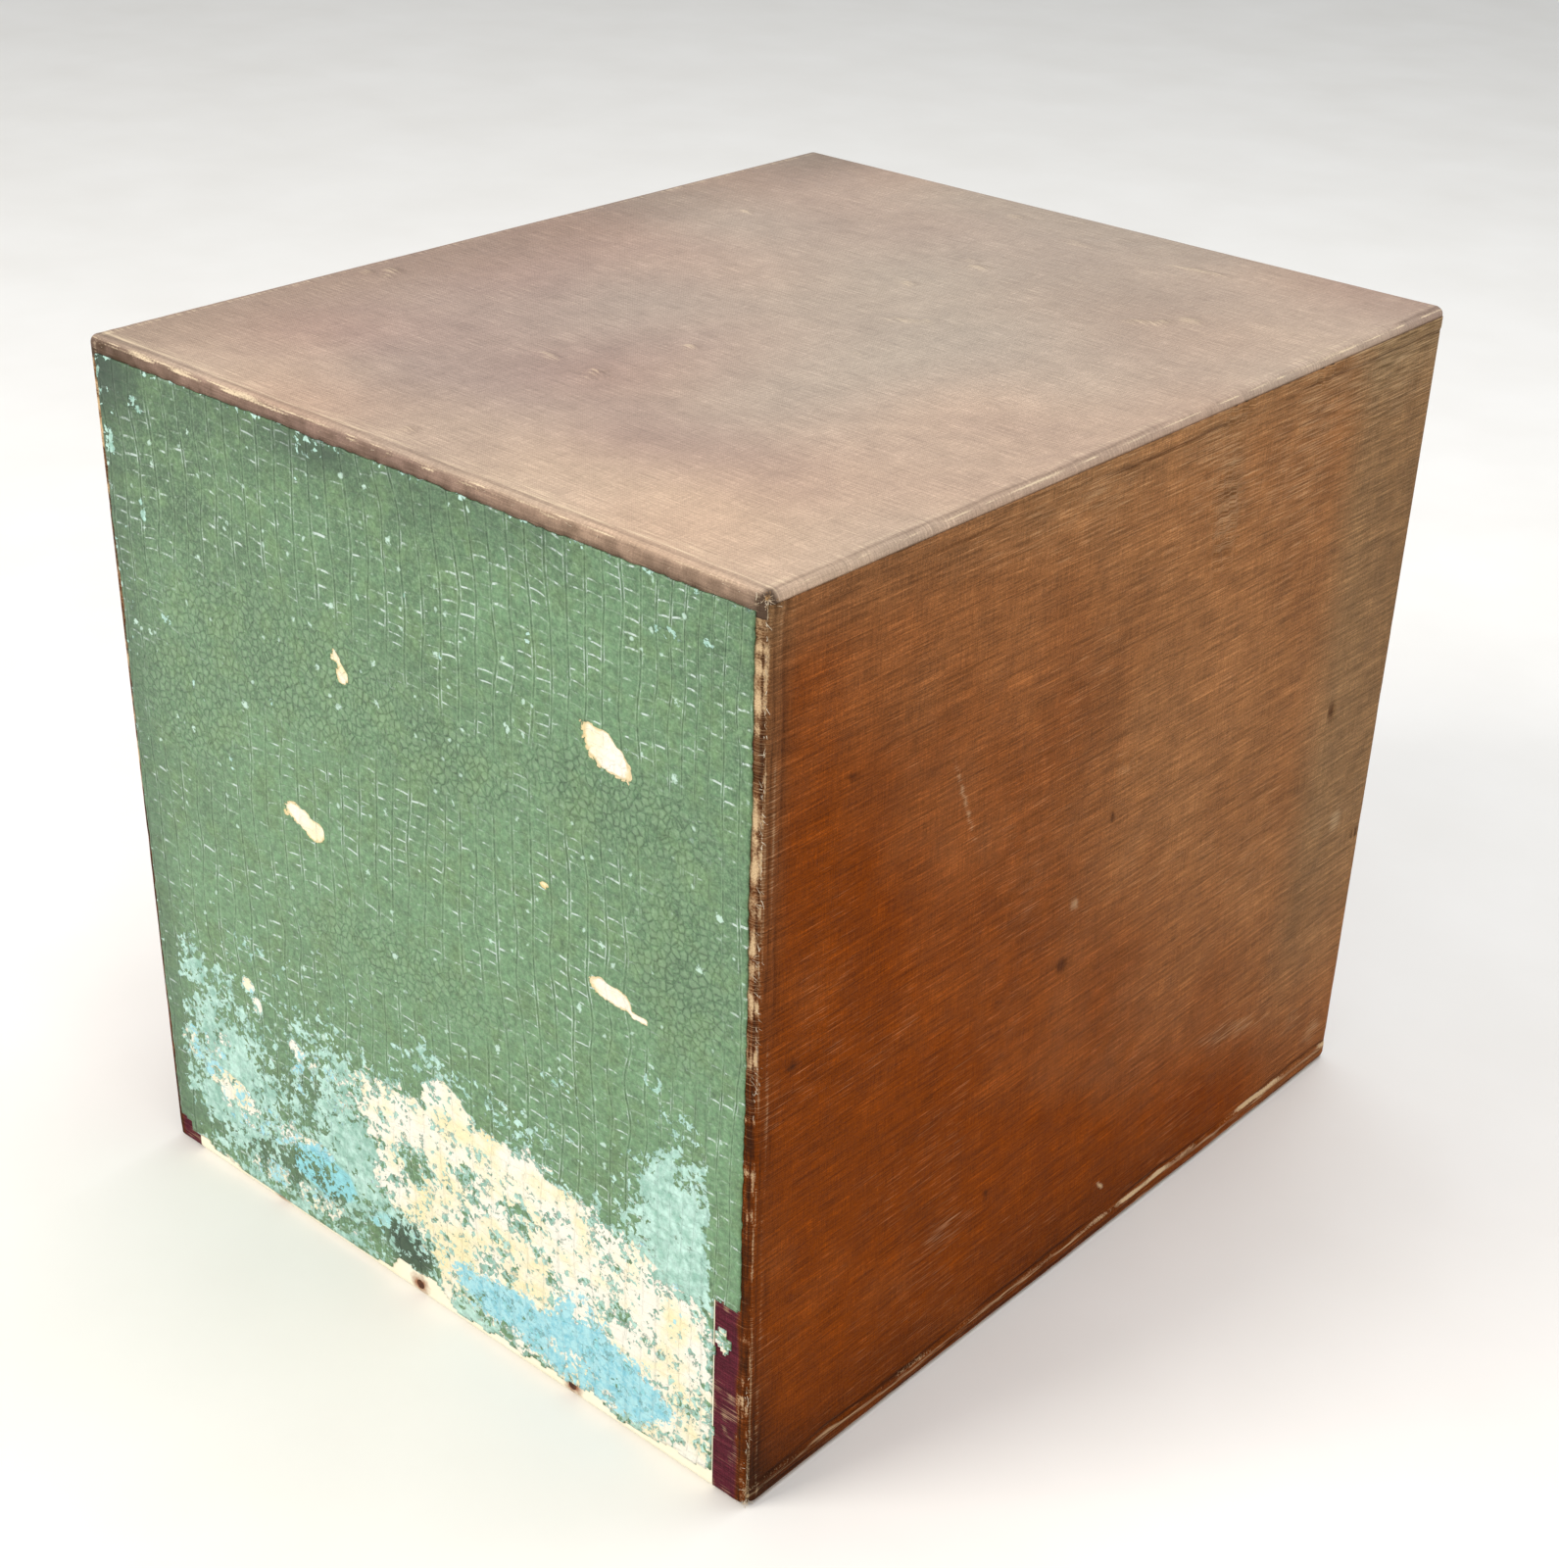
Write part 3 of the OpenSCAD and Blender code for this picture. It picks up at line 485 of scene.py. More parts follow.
# %% A side cloth
def side_cloth(name, side, seed):
    """The strip in four patches: base turn-in, side, rim and mouth. side is +1 right, -1 left."""
    low, high = cloth_low.copy(), cloth_high.copy()
    zs = spaced(foot_roll, tall - top_roll, 2.3, 0.7, 11.2)
    zs = np.unique(np.append(zs, [mouth_z0, mouth_z1]).round(4))
    ys = spaced(front, rim, 2.3, 0.8, 8)
    xs = np.linspace(half_w - turn_in, half_w, 20)
    patches = []

    def patch(points, uv, closed=True):
        """Draws a flat patch onto the round-edged box and lifts it by its relief."""
        flat = points.copy()
        points, normal = round_box(points, low, high, edge_r)
        run = np.clip(flat[..., 1] - front, 0, None)
        lift = side_relief(run, flat[..., 2], seed, side > 0)
        lift = lift * ramp(np.minimum(run, rim - front - run), 0, 5) * closed
        nick = np.clip(hills(uv[..., 0], uv[..., 1], 6, seed + 12) - 0.45, 0, 1)
        lift -= 0.9 * nick * (1 - ramp(np.abs(normal).max(axis=-1), 0.75, 0.98))
        corner = np.hypot(np.hypot(flat[..., 0] - half_w, run), np.minimum(flat[..., 2], 9) - 2)
        lift -= 0.9 * np.exp(-(corner / 3.5) ** 2) * (0.6 + 0.4 * hills(run, flat[..., 2], 3, seed + 13))
        fields = side_fields(run, flat[..., 2], seed, side > 0, normal)
        return {"points": points + normal * lift[..., None], "normals": normal, "uv": uv,
                "fields": fields}

    def grid(us, vs, place):
        """The points place(u, v) of a grid, and (u, v) itself for the weave."""
        u, v = np.meshgrid(us, vs, indexing="ij")
        return place(u, v), np.stack([u, v], -1)

    z_turn = zs[zs <= tall - lap_top + 0.3]
    points, uv = grid(xs, z_turn, lambda u, v: np.stack([u, u * 0 + front, v], -1))
    uv[..., 0] = uv[..., 0] - half_w
    base = patch(points, uv, closed=False)
    gap = half_w - np.abs(points[..., 0])
    base["fields"].update(strip_fields(gap, points[..., 2], uv[..., 0], seed))
    patches.append(base)
    points, uv = grid(ys, zs, lambda u, v: np.stack([u * 0 + half_w, u, v], -1))
    uv[..., 0] = uv[..., 0] - front
    patches.append(patch(points, uv))
    z_rim = zs[(zs > mouth_z0 - 0.01) & (zs < mouth_z1 + 0.01)]
    rim_xs = spaced(mouth_x, half_w, 1.6, 0.8, 4)
    points, uv = grid(rim_xs, z_rim, lambda u, v: np.stack([u, u * 0 + rim, v], -1))
    uv[..., 0] = rim - front + half_w - uv[..., 0]
    patches.append(patch(points, uv, closed=False))
    ins = np.linspace(rim - rim_in, rim, 18)
    points, uv = grid(ins, z_rim, lambda u, v: np.stack([u * 0 + mouth_x, u, v], -1))
    uv[..., 0] = 2 * rim - front + half_w - mouth_x - uv[..., 0]
    inside = {"points": points, "normals": np.broadcast_to([-1.0, 0, 0], points.shape), "uv": uv,
              "fields": {k: points[..., 0] * 0 for k in ("fade", "olive", "dark", "rub", "scuff")}}
    inside["fields"]["maroon"] = points[..., 0] * 0 + 0.4
    patches.append(inside)
    for one in patches:
        one["points"], one["normals"] = one["points"] * (side, 1, 1), one["normals"] * (side, 1, 1)
    piece = make_piece(name, patches, [brown_cloth], angle=50, thick=cloth_t)
    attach(piece, "box")
    return piece


# %% Lay both side cloths
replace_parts(side_cloth("right_cloth_strip", 1, 3), "right_cloth")
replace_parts(side_cloth("left_cloth_strip", -1, 31), "left_cloth")

# %% [markdown]
# ## The cloths of the top and bottom boards
# These pieces roll over the board's edges: a flat field, a thin skirt down each side, a strip down
# the base and, at the mouth, a strip over the rim and into the opening. All the patches are drawn
# onto the same round-edged box, so the corners come out as one smooth ball corner.

# %% Top and bottom cloths
lumps = (                                       # centre, radii, height in mm and tilt of each lump
    ((-4.5, 142), (2.6, 2.1), 1.5, 10), ((-32, 100), (6, 1.7), 1.3, -8), ((-9, 16), (2.8, 2.4), 1.3),
    ((0, 258), (2.8, 2.2), 1.4), ((5, 295), (5, 2.6), 1.3, 20), ((-2, 300), (3, 2), 1.1),
    ((91, 283), (8, 2), 1.4, 30), ((102, 298), (5, 3.4), 1.0), ((96, 290), (3, 2), 1.1, 60),
    ((-111, 288), (2.4, 2), 0.9), ((-145, 126), (4, 2.6), 1.2), ((-150, 118), (3, 2), 1.1),
    ((-141, 120), (2.4, 1.8), 0.9), ((28, 222), (8, 2.6), 0.7, 20), ((34, 228), (3, 2), 0.7),
    ((70, 356), (12, 2.6), 0.9, 8), ((-30, 366), (4, 2), 0.9), ((12, 352), (9, 2.2), 0.8, -6),
    ((-70, 150), (1.5, 1.4), 0.8), ((40, 180), (1.6, 1.4), 0.8), ((-7, 97), (2.4, 6), 1.3, 12))


def top_relief(x, run):
    """Height over the flat top in mm: slow waves, lumps of old glue and one curved crease."""
    lift = 0.32 * hills(x, run, 100, 51) + 0.16 * hills(x, run, 30, 52) + 0.04 * hills(x, run, 9, 47)
    lift += 0.75 * blots(x, run, 0.7, lumps)
    ring = np.hypot(x + 7, (run - 102) * 1.6)
    lift += 1.1 * np.exp(-((ring - 7) / 1.3) ** 2) * ramp(102 - run, -2, 3)
    lift += 0.10 * hills(x, run, 7, 49) * spot(x, run, (20, 330), (140, 50), 0.9)
    return lift


# %% Wear of the top cloth
def top_fields(x, run, normal, under):
    """Where the top is tan, grey, dark, rubbed or scuffed, with painted shadows and highlights round
    the lumps. run is the distance from the base.
    """
    slow, mid = hills(x, run, 80, 53), hills(x, run, 24, 54)
    fade = 0.38 + 0.55 * ramp(x - 0.35 * run, -60, 160) + 0.45 * (1 - ramp(run, 4, 70)) + 0.16 * slow
    fade -= 0.30 * spot(x, run, (-60, 120), (60, 60), 0.9) + 0.25 * spot(x, run, (10, 70), (70, 22), 0.9)
    olive = 0.22 + 0.22 * hills(x, run, 55, 55) + 0.30 * ramp(run, 180, 380) * (1 - ramp(x, 0, 150))
    olive += 0.42 * spot(x, run, (25, 205), (120, 80), 0.9)
    dark = 0.30 * (1 - ramp(x + 12 * slow, -160, -105)) + 0.16 * ramp(run, 340, 388)
    dark += 0.10 * spot(x, run, (60, 300), (60, 40), 0.9)
    dark += 0.35 * np.exp(-((run - 3.4) / 1.0) ** 2) + 0.45 * crease(half_w - x, run, 2.2, 0.5, 0.8, 45)
    # Painted shade: the worn hollow at the front right corner is darkened.
    worn_hollow_shade = np.exp(-((np.hypot(half_w - x, run) - 1.5) / 2.6) ** 2)
    dark += 1.2 * worn_hollow_shade
    scuff = 0.10 * mid + 0.25 * np.exp(-((run - 8 - 2.5 * hills(x, run * 0, 40, 56)) / 3.2) ** 2)
    scuff += 0.5 * np.exp(-((run - 5.2 - 0.8 * hills(x, run * 0, 22, 57)) / 0.5) ** 2)
    scuff += 0.35 * np.exp(-((half_w - np.abs(x) - 4.5) / 0.6) ** 2)
    # Painted light: each lump gets a painted shadow behind it, away from the key lamp, and a painted
    # highlight just in front.
    dark += 0.14 * blots(x - 1.6, run - 1.8, 0.5, lumps)
    scuff += 0.3 * blots(x - 0.8, run + 0.8, 0.6, [(*lump[:2], 1.0, *lump[3:]) for lump in lumps])
    steep = np.abs(normal).max(axis=-1)
    rub = (1 - ramp(steep, 0.72, 0.99)) * (0.15 + 0.5 * hills(x, run, 12, 58))
    rub = np.maximum(rub, (1 - ramp(steep, 0.705, 0.78)) * (0.45 + 0.5 * hills(x + 7, run, 6, 50)))
    face = ramp(-normal[..., 1], 0.5, 0.95)
    fade, olive, dark = fade - 0.5 * face, olive * (1 - face), dark + 0.52 * face
    if under:
        fade, olive, dark, scuff = fade * 0.3, olive * 0, dark + 0.25, scuff * 0.5
    return {"fade": np.clip(fade, 0, 1.2), "olive": np.clip(olive, 0, 1), "dark": np.clip(dark, 0, 1),
            "rub": rub, "scuff": scuff, "maroon": x * 0}


# %% The cloth of one board
def board_cloth(name, under, finish):
    """The cloth of the top board, or of the bottom board with the heights counted from the floor."""
    roll, lap = (foot_roll, foot_roll) if under else (top_roll, lap_top)
    mouth = mouth_z0 if under else tall - mouth_z1
    step = 2.6 if under else 2.0
    xs = spaced(-half_w, half_w, step, 0.8, 8)
    ys = np.unique(np.append(spaced(front, rim, step, 0.8, 8), front + edge_r))
    downs = np.linspace(0, roll, 6)
    patches = []

    def patch(x, y, drop, uv, keep=None, closed=False):
        """Draws (x, y), drop mm below the board's face, onto the round-edged box and lifts it."""
        points = np.stack([x, y, drop * 0 + (drop if under else tall - drop)], -1)
        points, normal = round_box(points, cloth_low, cloth_high, edge_r)
        run = y - front
        inset = np.minimum(np.minimum(run, rim - y), half_w - np.abs(x))
        lift = top_relief(x, run) * ramp(inset, 0, 6) * (0.4 if under else 1) * closed
        if under:
            lift = -np.abs(lift)
        nick = np.clip(hills(x + drop, run, 5, 59) - 0.4, 0, 1)
        lift = lift - 0.8 * nick * (1 - ramp(np.abs(normal).max(axis=-1), 0.75, 0.98))
        hole = np.hypot(np.hypot(half_w - x, run), drop)
        lift = lift - 1.5 * np.exp(-(hole / 3.2) ** 2) * (0.7 + 0.3 * hills(x + drop, run, 2, 44))
        one = {"points": points + normal * lift[..., None], "normals": normal, "uv": uv,
               "fields": top_fields(x, run, normal, under)}
        if keep is not None:
            one["keep"] = keep
        patches.append(one)

    x, y = np.meshgrid(xs, ys, indexing="ij")
    gone = under & (np.abs(x) < half_w - turn_in) & (y < front + edge_r - 0.01)
    patch(x, y, x * 0, np.stack([x, y], -1), keep=~gone[:-1, :-1] | ~gone[1:, 1:], closed=True)
    y, d = np.meshgrid(ys, downs, indexing="ij")
    for side in (-1, 1):
        patch(y * 0 + side * half_w, y, d, np.stack([side * (half_w + d), y], -1))
    x, d = np.meshgrid(xs, np.linspace(0, lap, 11), indexing="ij")
    inner = np.abs(x[:-1, :-1] + x[1:, 1:]) / 2 > half_w - turn_in if under else None
    patch(x, x * 0 + front, d, np.stack([x, front - d], -1), keep=inner)
    patches[-1]["fields"]["rub"] += 0.6 * np.exp(-((d - 1.6) / 0.7) ** 2) * (0.4 + hills(x, d * 0, 9, 43))
    patches[-1]["fields"]["dark"] += 0.2 * hills(x, d, 3, 42) + 0.22 * ramp(d, 3.9, 5.4)
    x, d = np.meshgrid(xs, spaced(0, mouth, 1.4, 0.8, 3.2, (True, False)), indexing="ij")
    patch(x, x * 0 + rim, d, np.stack([x, rim + d], -1))
    ins = np.linspace(0, rim_in, 16)
    inside = xs[np.abs(xs) < mouth_x]
    x, d = np.meshgrid(inside, ins, indexing="ij")
    z = x * 0 + (mouth_z0 if under else mouth_z1)
    patches.append({"points": np.stack([x, rim - d, z], -1), "uv": np.stack([x, rim + mouth + d], -1),
                    "normals": np.broadcast_to([0, 0, 1.0 if under else -1.0], (*x.shape, 3)),
                    "fields": {**{k: x * 0 for k in ("fade", "olive", "dark", "rub", "scuff")},
                               "maroon": x * 0 + 0.4}})
    piece = make_piece(name, patches, [finish], angle=50, thick=cloth_t)
    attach(piece, "box")
    return piece


# %% Lay the top and bottom cloths
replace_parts(board_cloth("top_cloth_field", False, top_cloth_finish), "top_cloth")
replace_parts(board_cloth("bottom_cloth_field", True, brown_cloth), "bottom_cloth")

# %% [markdown]
# ## Frayed threads
# Where the cloth has worn through at the edges, its ends stand out as short pale fibres. Each one is
# a four-sided tube on a bent path, and all of them are worked out as one array.

# %% Frayed threads
def fringe(name, roots, heads, length, bend, seed, thick=0.13):
    """Tubes along root + length * (head * t + bend * t^2), thinning to 40% at the tip (t = 1)."""
    rng = np.random.default_rng(seed)
    n, t = len(roots), np.linspace(0, 1, 6)[None, :, None]
    heads = heads + rng.normal(0, 0.35, (n, 3))
    heads /= np.linalg.norm(heads, axis=1, keepdims=True)
    curl = rng.normal(0, bend, (n, 3))
    reach = (length * rng.uniform(0.35, 1.0, n))[:, None, None]
    path = roots[:, None] + reach * (heads[:, None] * t + curl[:, None] * t ** 2)
    along = heads[:, None] + 2 * curl[:, None] * t
    first = np.cross(along, (0.31, 0.59, 0.74))
    first /= np.linalg.norm(first, axis=-1, keepdims=True)
    second = np.cross(along, first)
    second /= np.linalg.norm(second, axis=-1, keepdims=True)
    turn = np.linspace(0, 2 * np.pi, 4, endpoint=False)
    ring = first[..., None, :] * np.cos(turn)[:, None] + second[..., None, :] * np.sin(turn)[:, None]
    points = path[:, :, None] + ring * (thick * (1 - 0.6 * t))[..., None]
    index = np.arange(n * 24).reshape(n, 6, 4)
    sides = np.stack([index[:, :-1], np.roll(index, -1, 2)[:, :-1], np.roll(index, -1, 2)[:, 1:],
                      index[:, 1:]], -1).reshape(-1, 4)
    faces = np.concatenate([sides, index[:, 0, ::-1], index[:, -1]])
    mesh = bpy.data.meshes.new(name)
    mesh.from_pydata((points.reshape(-1, 3) / 1000).tolist(), [], faces.tolist())
    mesh.materials.append(linen_thread)
    piece = bpy.data.objects.new(name, mesh)
    bpy.context.scene.collection.objects.link(piece)
    print(name, n, "threads", len(mesh.polygons), "faces")
    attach(piece, "box")


def thread_finish():
    """Undyed linen fibre: matt, off-white, browned in places by handling."""
    linen, node = new_material("undyed_linen_thread")
    place = node("TexCoord").outputs["Object"]
    soil = node("TexNoise", {"Vector": place, "Scale": 240.0, "Detail": 3.0})
    soil = node("MapRange", soil, 0.42, 0.62)
    colour = node("mix", soil, "#d9cdb8", "#8a6a48")
    return finish_material(linen, node("BsdfPrincipled", {
        "Base Color": colour, "Roughness": 0.9, "Specular IOR Level": 0.1}))


linen_thread = thread_finish()

# %% Place the threads
dice = np.random.default_rng(102)
skin = edge_r * (1 - np.sqrt(0.5))              # mm, how far a rounded edge lies inside the sharp one
up_edge = np.concatenate([dice.uniform(165, 338, 150), dice.uniform(4, 60, 30)])
up_roots = np.stack([up_edge * 0 + half_w - skin, up_edge * 0 + front + skin, up_edge], -1)
up_roots += dice.normal(0, 0.25, up_roots.shape)
both_ways = dice.choice([-1, 1], (180, 1)) * (-1, 1, 1)
fringe("edge_threads", up_roots, np.array([0.25, -0.25, 0.9]) * both_ways, 2.6, 0.25, 103, 0.11)
for name, inset, height, spread, head, n, length, bend, seed in (
        ("corner_threads", 2.0, tall - 2.6, 0.9, (0.35, -0.35, 0.15), 60, 2.4, 0.35, 104),
        ("foot_threads", 1.8, 2.2, 0.7, (0.3, -0.3, 0.1), 40, 1.8, 0.3, 105)):
    roots = np.array([half_w - inset, front + inset, height]) + dice.normal(0, spread, (n, 3))
    fringe(name, roots, np.array(head) + dice.normal(0, 0.5, (n, 3)), length, bend, seed)
lip_x = dice.uniform(-150, 156, 110)
lip = np.stack([lip_x, lip_x * 0 + front + 0.6, lip_x * 0 + tall - 2.4], -1)
lip += dice.normal(0, 0.2, (110, 3))
both_ways = dice.choice([-1, 1], (110, 1)) * (1, -1, 1)
fringe("lip_threads", lip, np.array([0.9, -0.22, 0.1]) * both_ways, 2.2, 0.2, 106, 0.09)

# %% [markdown]
# ## Embossed paper
# The base is covered with glossy green paper, rolled between engraved cylinders to look like
# reptile skin: upright rows of small blocks, with patches of round pebbles. Where it is rubbed the
# green coat goes first and leaves a mint-white ground; where the paper has gone altogether the
# cream facing shows. Broad fields on the sheet say how far each stage has gone, and fine noise in
# the finish breaks their borders into chips and crumbs.

# %% Paper finish
def paper_finish():
    """Coated embossed paper, worn through its coat and then through the sheet itself."""
    paper, node = new_material("embossed_green_paper")
    place = node("TexCoord").outputs["Object"]
    column, row, pebble, worn, bare, blue, grime, tone, tear = (
        node("Attribute " + key, attribute_type="GEOMETRY").outputs["Fac"] for key in (
            "column", "row", "pebble", "worn", "bare", "blue", "grime", "tone", "tear"))
    # Noises from broad clouds to the grain of the paper: patches per metre, detail and roughness.
    cloud, rubbed, patchy, crumb, blotch, grain = (
        node("TexNoise", {"Vector": place, "Scale": scale, "Detail": detail, "Roughness": rough})
        for scale, detail, rough in ((16.0, 4.0, 0.6), (150.0, 5.0, 0.7), (70.0, 5.0, 0.6),
                                     (270.0, 6.0, 0.72), (420.0, 4.0, 0.7), (1100.0, 3.0, 0.6)))
    clouds, patches, crumbs = (node("-", noise, 0.5) for noise in (cloud, patchy, crumb))

    # Embossing: upright grooves between columns, rungs between the blocks, and round pebbles.
    side, rung = (node("Math ABSOLUTE", node("-", node("Math FRACT", count), 0.5))
                  for count in (column, row))
    plain = node("-", 1.0, pebble)
    groove = node("*", node("smooth", side, 0.45, 0.49), node("smooth", crumb, 0.40, 0.58))
    across = node("smooth", node("-", 0.5, side), 0.03, 0.12)
    ladder = node("*", node("smooth", rung, 0.405, 0.455), across)
    flank = node("*", node("smooth", side, 0.36, 0.42), node("-", 1.0, node("smooth", side, 0.42, 0.46)))
    beads = node("TexVoronoi", {"Vector": place, "Scale": 330.0, "Randomness": 0.8},
                 feature="DISTANCE_TO_EDGE")
    bead_gap = node("*", node("-", 1.0, node("smooth", beads, 0.0, 0.06)), pebble)
    bead_top = node("*", node("smooth", beads, 0.05, 0.2), pebble)
    dark_lines = node("max", node("*", groove, plain), node("*", bead_gap, 0.62))

    # The green coat: two tones in clouds, lighter and darker specks, painted shade in the grooves and
    # painted highlights on the flanks beside them.
    # Painted shading: lighter green toward the bottom and middle, darker toward the top and sides.
    painted_light_and_tone = node("smooth", node("+", tone, node("*", clouds, 0.9)), 0.0, 1.0)
    green = node("mix", painted_light_and_tone, "#415d42", "#5f8460")
    green = node("mix", node("smooth", patchy, 0.44, 0.66), green, "#5d7c55")
    green = node("mix", node("*", node("smooth", grain, 0.40, 0.72), 0.42), green, "#8aa884")
    green = node("mix", node("*", node("smooth", crumb, 0.46, 0.30), 0.5), green, "#34513a")
    green = node("scaled", green, node("MapRange", blotch, 0.32, 0.68, 0.68, 1.32))
    # Painted shade darkens the grooves and the gaps between pebbles; a painted highlight lightens the
    # pebble tops and groove flanks.
    green = node("mix", node("*", dark_lines, 0.30), green, "#2b4131")
    painted_relief_highlight = node("max", bead_top, node("*", flank, plain))
    green = node("mix", node("*", painted_relief_highlight, 0.28), green, "#8fac8a")
    # The raised rims of the cells are rubbed: broken pale lines, whiter where the rub is hard.
    rims = node("*", node("max", ladder, node("*", flank, 0.6)), plain)
    for low, high, much, tint in ((0.46, 0.56, 0.38, "#a9c2ae"), (0.55, 0.61, 0.50, "#e2f0f2")):
        rub = node("*", rims, node("smooth", rubbed, low, high))
        green = node("mix", node("*", rub, much), green, tint)
    # Grime spots, and a painted shade along the left edge and the top, darken the coat.
    grime_and_painted_shade = node("*", grime, node("smooth", node("+", crumb, grime), 0.55, 1.2))
    green = node("mix", grime_and_painted_shade, green, "#22352a")

    # Chips: the coat goes first, then the sheet. Crumbs and two sizes of cells roughen the borders.
    stirred = node("TexNoise", {"Vector": place, "Scale": 330.0, "Detail": 3.0}).outputs["Color"]
    stirred = node("VectorMath ADD", place, node("scaled", stirred, 0.0034))
    ragged = node("*+", crumb, 1.5, -1.55)
    for scale, share in ((240.0, 0.85), (560.0, 0.75)):
        flake = node("TexVoronoi", {"Vector": stirred, "Scale": scale}).outputs["Color"]
        ragged = node("*+", node("SeparateColor", flake).outputs[0], share, ragged)
    fleck = node("TexVoronoi", {"Vector": place, "Scale": 95.0, "Randomness": 1.0})
    few = node("Math GREATER_THAN", node("SeparateColor", fleck.outputs["Color"]).outputs[0], 0.72)
    fleck = node("smooth", node("+", fleck.outputs["Distance"], node("*", crumbs, 0.9)), 0.06, 0.13)
    fleck = node("*", node("-", 1.0, fleck), few)
    tiny = node("TexVoronoi", {"Vector": stirred, "Scale": 230.0, "Randomness": 1.0})
    seldom = node("+", node("SeparateColor", tiny.outputs["Color"]).outputs[0], node("*", worn, 0.25))
    tiny = node("-", 1.0, node("smooth", tiny.outputs["Distance"], 0.12, 0.26))
    tiny = node("*", tiny, node("smooth", seldom, 0.74, 0.80))
    green = node("mix", node("max", node("*", fleck, 0.85), node("*", tiny, 0.7)), green, "#bddacd")
    coat_off = node("smooth", node("+", worn, ragged), 0.46, 0.58)
    reach = node("+", bare, ragged)
    sheet_off = node("smooth", reach, 0.46, 0.56)

    # The mint ground under the coat, bluer in places.
    lighter = node("smooth", node("+", crumb, node("*", patchy, 0.6)), 0.6, 1.0)
    ground = node("mix", lighter, "#86b0a1", "#bbddd3")
    bluer = node("smooth", node("+", blue, node("*", patches, 1.6)), 0.25, 0.85)
    ground = node("mix", bluer, ground, "#8ccbd3")
    ground = node("scaled", ground, node("MapRange", blotch, 0.3, 0.7, 0.84, 1.14))
    # The cream facing under the sheet, stained sky blue in places and brown round the tears.
    yellower = node("smooth", node("+", patchy, node("*", cloud, 0.5)), 0.62, 0.95)
    cream = node("mix", yellower, "#ebe8dc", "#e9deb4")
    sky_blue = node("mix", node("smooth", crumb, 0.35, 0.6), "#7dbfd0", "#a8d8df")
    stained = node("*+", ragged, 1.5, node("+", blue, node("*", patches, 2.2)))
    cream = node("mix", node("smooth", stained, 0.40, 0.62), cream, sky_blue)
    cream = node("scaled", cream, node("MapRange", grain, 0.3, 0.6, 0.90, 1.02))
    torn = node("smooth", node("+", tear, node("*", crumbs, 1.3)), 0.95, 0.6)
    torn = node("*", torn, node("smooth", tear, 0.05, 0.2))
    cream = node("mix", node("*", torn, 0.75), cream, "#d6bd83")

    colour = node("mix", coat_off, green, ground)
    colour = node("mix", sheet_off, colour, cream)
    # A thin brown shadow line of torn fibre along the edge of the missing sheet.
    lip = node("*", node("-", node("smooth", reach, 0.36, 0.46), sheet_off), 0.35)
    colour = node("mix", lip, colour, "#6b5a3c")

    height = node("-", 0.5, node("*", dark_lines, 0.5))
    height = node("+", height, node("*", bead_top, 0.35))
    height = node("-", height, node("*", node("*", ladder, plain), 0.3))
    height = node("+", height, node("*", grain, 0.12))
    height = node("-", height, node("*", node("+", coat_off, sheet_off), 0.45))
    bump = node("Bump", {"Height": height, "Strength": 0.8, "Distance": 0.0006})
    rough = node("*", node("max", coat_off, sheet_off), 0.34)
    rough = node("+", node("+", rough, node("*", patchy, 0.22)), 0.33, use_clamp=True)
    return finish_material(paper, node("BsdfPrincipled", {
        "Base Color": colour, "Roughness": rough, "Normal": bump, "Specular IOR Level": 0.42}))


green_paper = paper_finish()

# %% [markdown]
# ## The sheet on the base
# The sheet is a height field on a 1.2 mm grid, closed at its back. Its columns and rows of blocks
# are two fields that grow across the sheet; their whole numbers are the grooves, both for the
# finish and for the real relief. The sheet drops by most of its thickness where it has worn away,
# and the lips of the tears curl up.

# %% Close the back of a sheet
def close_back(piece, back):
    """Carries every open edge of a sheet straight back to one plane and fills the loops there."""
    work = bmesh.new()
    work.from_mesh(piece.data)
    open_edges = [edge for edge in work.edges if edge.is_boundary]
    grown = bmesh.ops.extrude_edge_only(work, edges=open_edges)["geom"]
    for vert in (v for v in grown if isinstance(v, bmesh.types.BMVert)):
        vert.co.y = back
    rims = [edge for edge in grown if isinstance(edge, bmesh.types.BMEdge)]
    filled = bmesh.ops.triangle_fill(work, edges=rims, normal=(0, 1, 0))["geom"]
    bmesh.ops.recalc_face_normals(work, faces=work.faces)
    work.to_mesh(piece.data)
    print(piece.name, "filled", len(filled), "open", sum(e.is_boundary for e in work.edges),
          "faces", len(work.faces))
    work.free()


# %% Cells of the embossing
def embossing(x, z):
    """Columns and rows of blocks as numbers that grow across the sheet, and where pebbles are."""
    wx = 5.0 * hills(x, z, 60, 71) + 1.6 * hills(x, z, 17, 72)
    wz = 4.0 * hills(x, z, 50, 73) + 1.0 * hills(x, z, 13, 74)
    column = (x + wx) / 8.6 + 2.6 * ramp(x, 108, 158)
    which = np.floor(column).astype(int)
    within = column - which
    shift, spread = (np.random.default_rng(seed).uniform(0, 1, 128)[which % 128] for seed in (75, 92))
    pitch = 4.0 + 2.4 * spread                  # mm from rung to rung, another in each column
    row = (z + wz + 0.12 * np.cos(2 * np.pi * within)) / pitch + 9 * shift
    pebble = np.maximum.reduce([spot(x, z, centre, radii, 0.35) for centre, radii in (
        ((-60, 250), (75, 26)), ((100, 256), (46, 16)), ((-120, 215), (30, 26)),
        ((20, 243), (40, 15)), ((128, 205), (22, 38)), ((-10, 150), (60, 14)))])
    return column, row, within, pebble


# %% [markdown]
# ## Wear of the paper
# A papered base is rubbed where the box stands and is dragged, and torn where something stuck to
# it. Each kind of wear is one broad field over the sheet: soft ellipses and hills, in millimetres
# from the middle of the foot. The finish adds noise to a field and cuts it at a level, which gives
# chips and crumbs of the right size without a painted mask.

